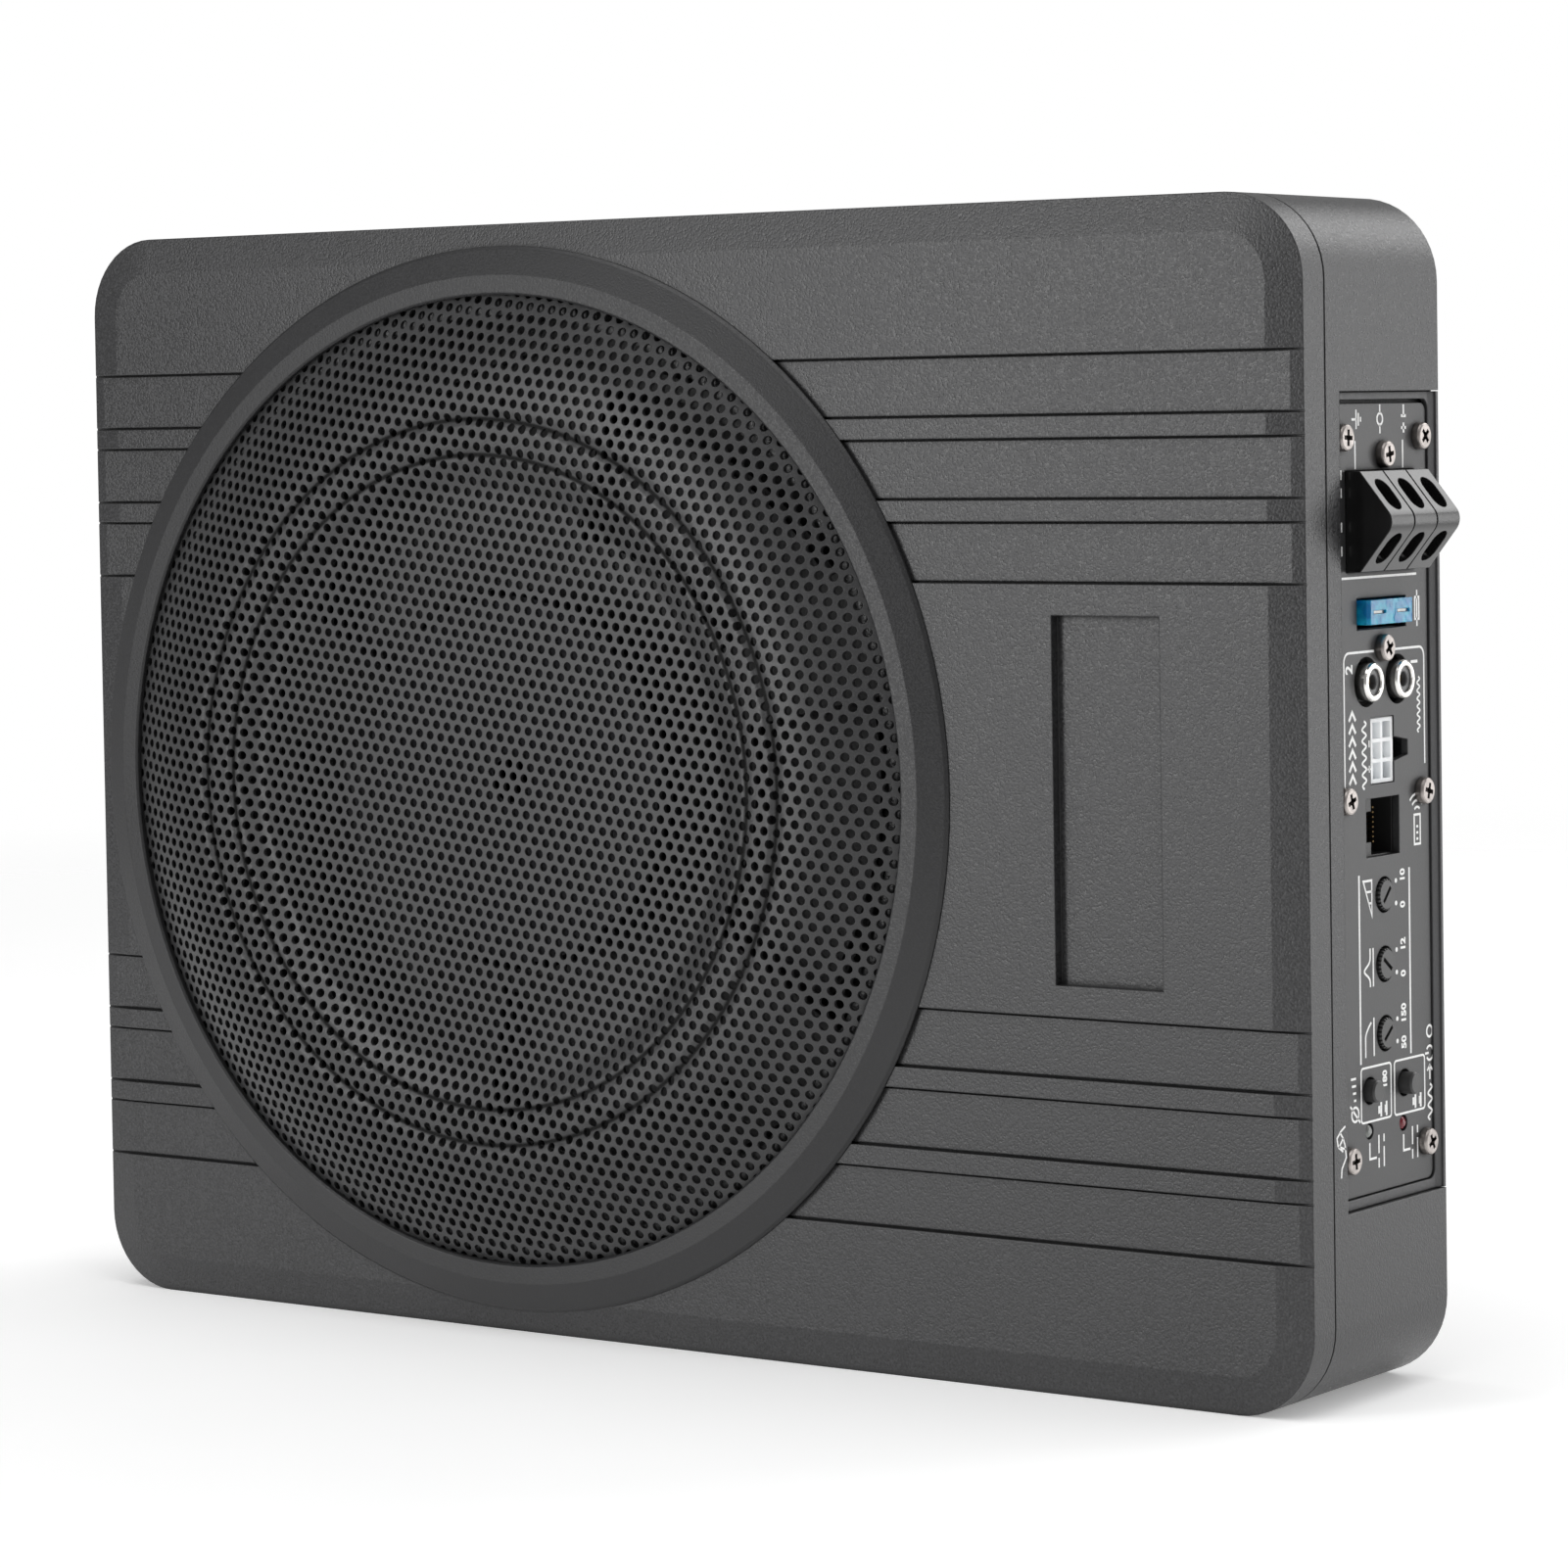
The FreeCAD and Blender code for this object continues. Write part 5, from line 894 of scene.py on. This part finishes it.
# Strokes of (y, z) points in millimetres on the side wall.
SCRATCHES = (
    [(-14.2, 59.1), (-16.2, 58.2), (-17.7, 57.0), (-17.3, 55.4), (-15.4, 54.7), (-14.0, 54.4)],
    [
        (-16.4, 58.0), (-15.2, 56.8), (-14.4, 55.2), (-13.9, 52.7), (-15.0, 51.4), (-15.8, 50.4),
        (-16.0, 48.6),
    ],
    [(-15.2, 56.8), (-16.9, 55.0), (-15.2, 54.0)],
)


def make_scratch(material):
    """Bright scratch through the paint of the side wall, beside the panel's lower screw."""
    scratch = Print("housing")
    for stroke in SCRATCHES:
        scratch.line([(y * MM, z * MM) for y, z in stroke], 0.45 * MM)
    return new_object("paint_scratch", scratch.mesh, material)


FIGURE_HEIGHT = 0.72  # height of a figure in the built-in font, as a share of its size
FIGURE_BOLDER = 0.11 * MM


def make_number(name, text, y, z, tall, material):
    """A number printed on the panel; it reads along Z with its top towards the front."""
    data = bpy.data.curves.new(name, "FONT")
    data.body = text
    data.size = tall / FIGURE_HEIGHT
    data.align_x = "CENTER"
    data.align_y = "CENTER"
    data.extrude = INK_THICK / 2
    data.resolution_u = 4
    data.offset = FIGURE_BOLDER
    data.materials.append(material)
    number = bpy.data.objects.new(name, data)
    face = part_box("control_panel")[1].x + INK_THICK / 2
    upright = Matrix(((0, 0, 1), (0, -1, 0), (1, 0, 0))).to_4x4()
    number.matrix_world = Matrix.Translation((face, y, z)) @ upright
    bpy.context.scene.collection.objects.link(number)
    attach(number, "cabinet")


def make_numbers(material):
    """The ends of the knobs' scales, the phase's half turn and the numbers of the two inputs."""
    scales = (("gain_knob", "0", "10"), ("boost_knob", "0", "12"), ("crossover_knob", "50", "150"))
    for node, low, high in scales:
        knob = middle(node)
        for end, text, up in (("low", low, -2.7 * MM), ("high", high, 3.4 * MM)):
            make_number(f"{node}_{end}", text, knob.y + 7.9 * MM, knob.z + up, 2.0 * MM, material)
    phase = middle("phase_button")
    make_number("phase_high", "180", phase.y + 6.4 * MM, phase.z + 1.7 * MM, 1.8 * MM, material)
    shells_low, shells_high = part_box("phono_shells")
    make_number("input_2", "2", shells_low.y - 3.2 * MM, shells_high.z - 1.2 * MM, 2.9 * MM, material)
    make_number("input_1", "1", shells_high.y + 3.4 * MM, shells_high.z - 0.8 * MM, 2.9 * MM, material)


# ---------------------------------------------------------------- studio


def make_floor():
    """Wide pale disc that thins out into the backdrop towards its rim."""
    radius, rings, sides = 3.0, 12, 96
    mesh = bmesh.new()
    loops = []
    for k in range(1, rings + 1):
        spots = circle(0.0, 0.0, radius * (k / rings) ** 2, sides=sides)
        loops.append([mesh.verts.new((x, y, 0.0)) for x, y in spots])
    mesh.faces.new(loops[0])
    for inner, outer in zip(loops, loops[1:]):
        for s in range(sides):
            n = (s + 1) % sides
            mesh.faces.new((inner[s], outer[s], outer[n], inner[n]))
    data = bpy.data.meshes.new("floor")
    mesh.to_mesh(data)
    mesh.free()
    data.materials.append(floor_finish())
    floor = bpy.data.objects.new("floor", data)
    floor.location.z = CAD_BOX[0].z
    bpy.context.scene.collection.objects.link(floor)


def floor_finish():
    """Matt white that glows a little, and lets the backdrop through away from the object."""
    finish = Finish("floor", grey(0.96), 0.6, Specular_IOR_Level=0.2)
    finish.put("Emission Color", (*grey(1.0), 1.0))
    finish.put("Emission Strength", 0.24)
    away = finish.add("VectorMath", {0: finish.place}, operation="LENGTH").outputs["Value"]
    finish.put("Alpha", finish.between(away, 1.5, 0.45))
    finish.put("Roughness", finish.spread(finish.noise(50 * MM, 3.0), 0.55, 0.7))
    return finish.material


# Name, azimuth and elevation in degrees, distance and (width, height) in metres, and strength.
SOFTBOXES = (
    ("front_left", -27, 10.5, 1.9, (0.5, 1.25), 6.5),
    ("right", 130, 3, 1.9, (1.5, 1.2), 2.5),
    ("back", 159, 34, 1.9, (1.2, 1.0), 2.6),
    ("top", 20, 78, 1.7, (1.6, 1.6), 2.0),
)
LIGHTS_AIM = Vector((0, 0, 0.125))


def make_softbox(name, azimuth, elevation, distance, size, strength):
    """A soft light that faces the object. Azimuth 0 is in front, positive to the right."""
    data = bpy.data.lights.new(name, "AREA")
    data.shape = "RECTANGLE"
    data.size, data.size_y = size
    data.energy = strength * math.pi * size[0] * size[1]
    lamp = bpy.data.objects.new(name, data)
    a, e = math.radians(azimuth), math.radians(elevation)
    back = Vector((math.sin(a) * math.cos(e), -math.cos(a) * math.cos(e), math.sin(e)))
    lamp.location = LIGHTS_AIM + back * distance
    lamp.rotation_mode = "QUATERNION"
    lamp.rotation_quaternion = back.to_track_quat("Z", "Y")
    lamp.visible_camera = False
    bpy.context.scene.collection.objects.link(lamp)


def make_world():
    """White backdrop for the eye and a dimmer, even light for the object."""
    world = bpy.data.worlds.new("studio")
    world.use_nodes = True
    tree = world.node_tree
    light = tree.nodes["Background"]
    backdrop = tree.nodes.new("ShaderNodeBackground")
    for background, strength in ((light, 0.36), (backdrop, 1.0)):
        background.inputs["Color"].default_value = (*grey(1.0), 1.0)
        background.inputs["Strength"].default_value = strength
    seen = tree.nodes.new("ShaderNodeLightPath")
    choice = tree.nodes.new("ShaderNodeMixShader")
    tree.links.new(seen.outputs["Is Camera Ray"], choice.inputs[0])
    tree.links.new(light.outputs[0], choice.inputs[1])
    tree.links.new(backdrop.outputs[0], choice.inputs[2])
    tree.links.new(choice.outputs[0], tree.nodes["World Output"].inputs["Surface"])
    bpy.context.scene.world = world


def make_studio():
    make_world()
    make_floor()
    for softbox in SOFTBOXES:
        make_softbox(*softbox)
    bpy.context.scene.view_settings.view_transform = "Standard"


make_camera()
made = finish_cad_nodes()
make_grille(made["grille_paint"])
panel_ink = ink("panel_ink")
make_panel_print(panel_ink)
make_numbers(panel_ink)
make_scratch(panel_ink)
make_studio()
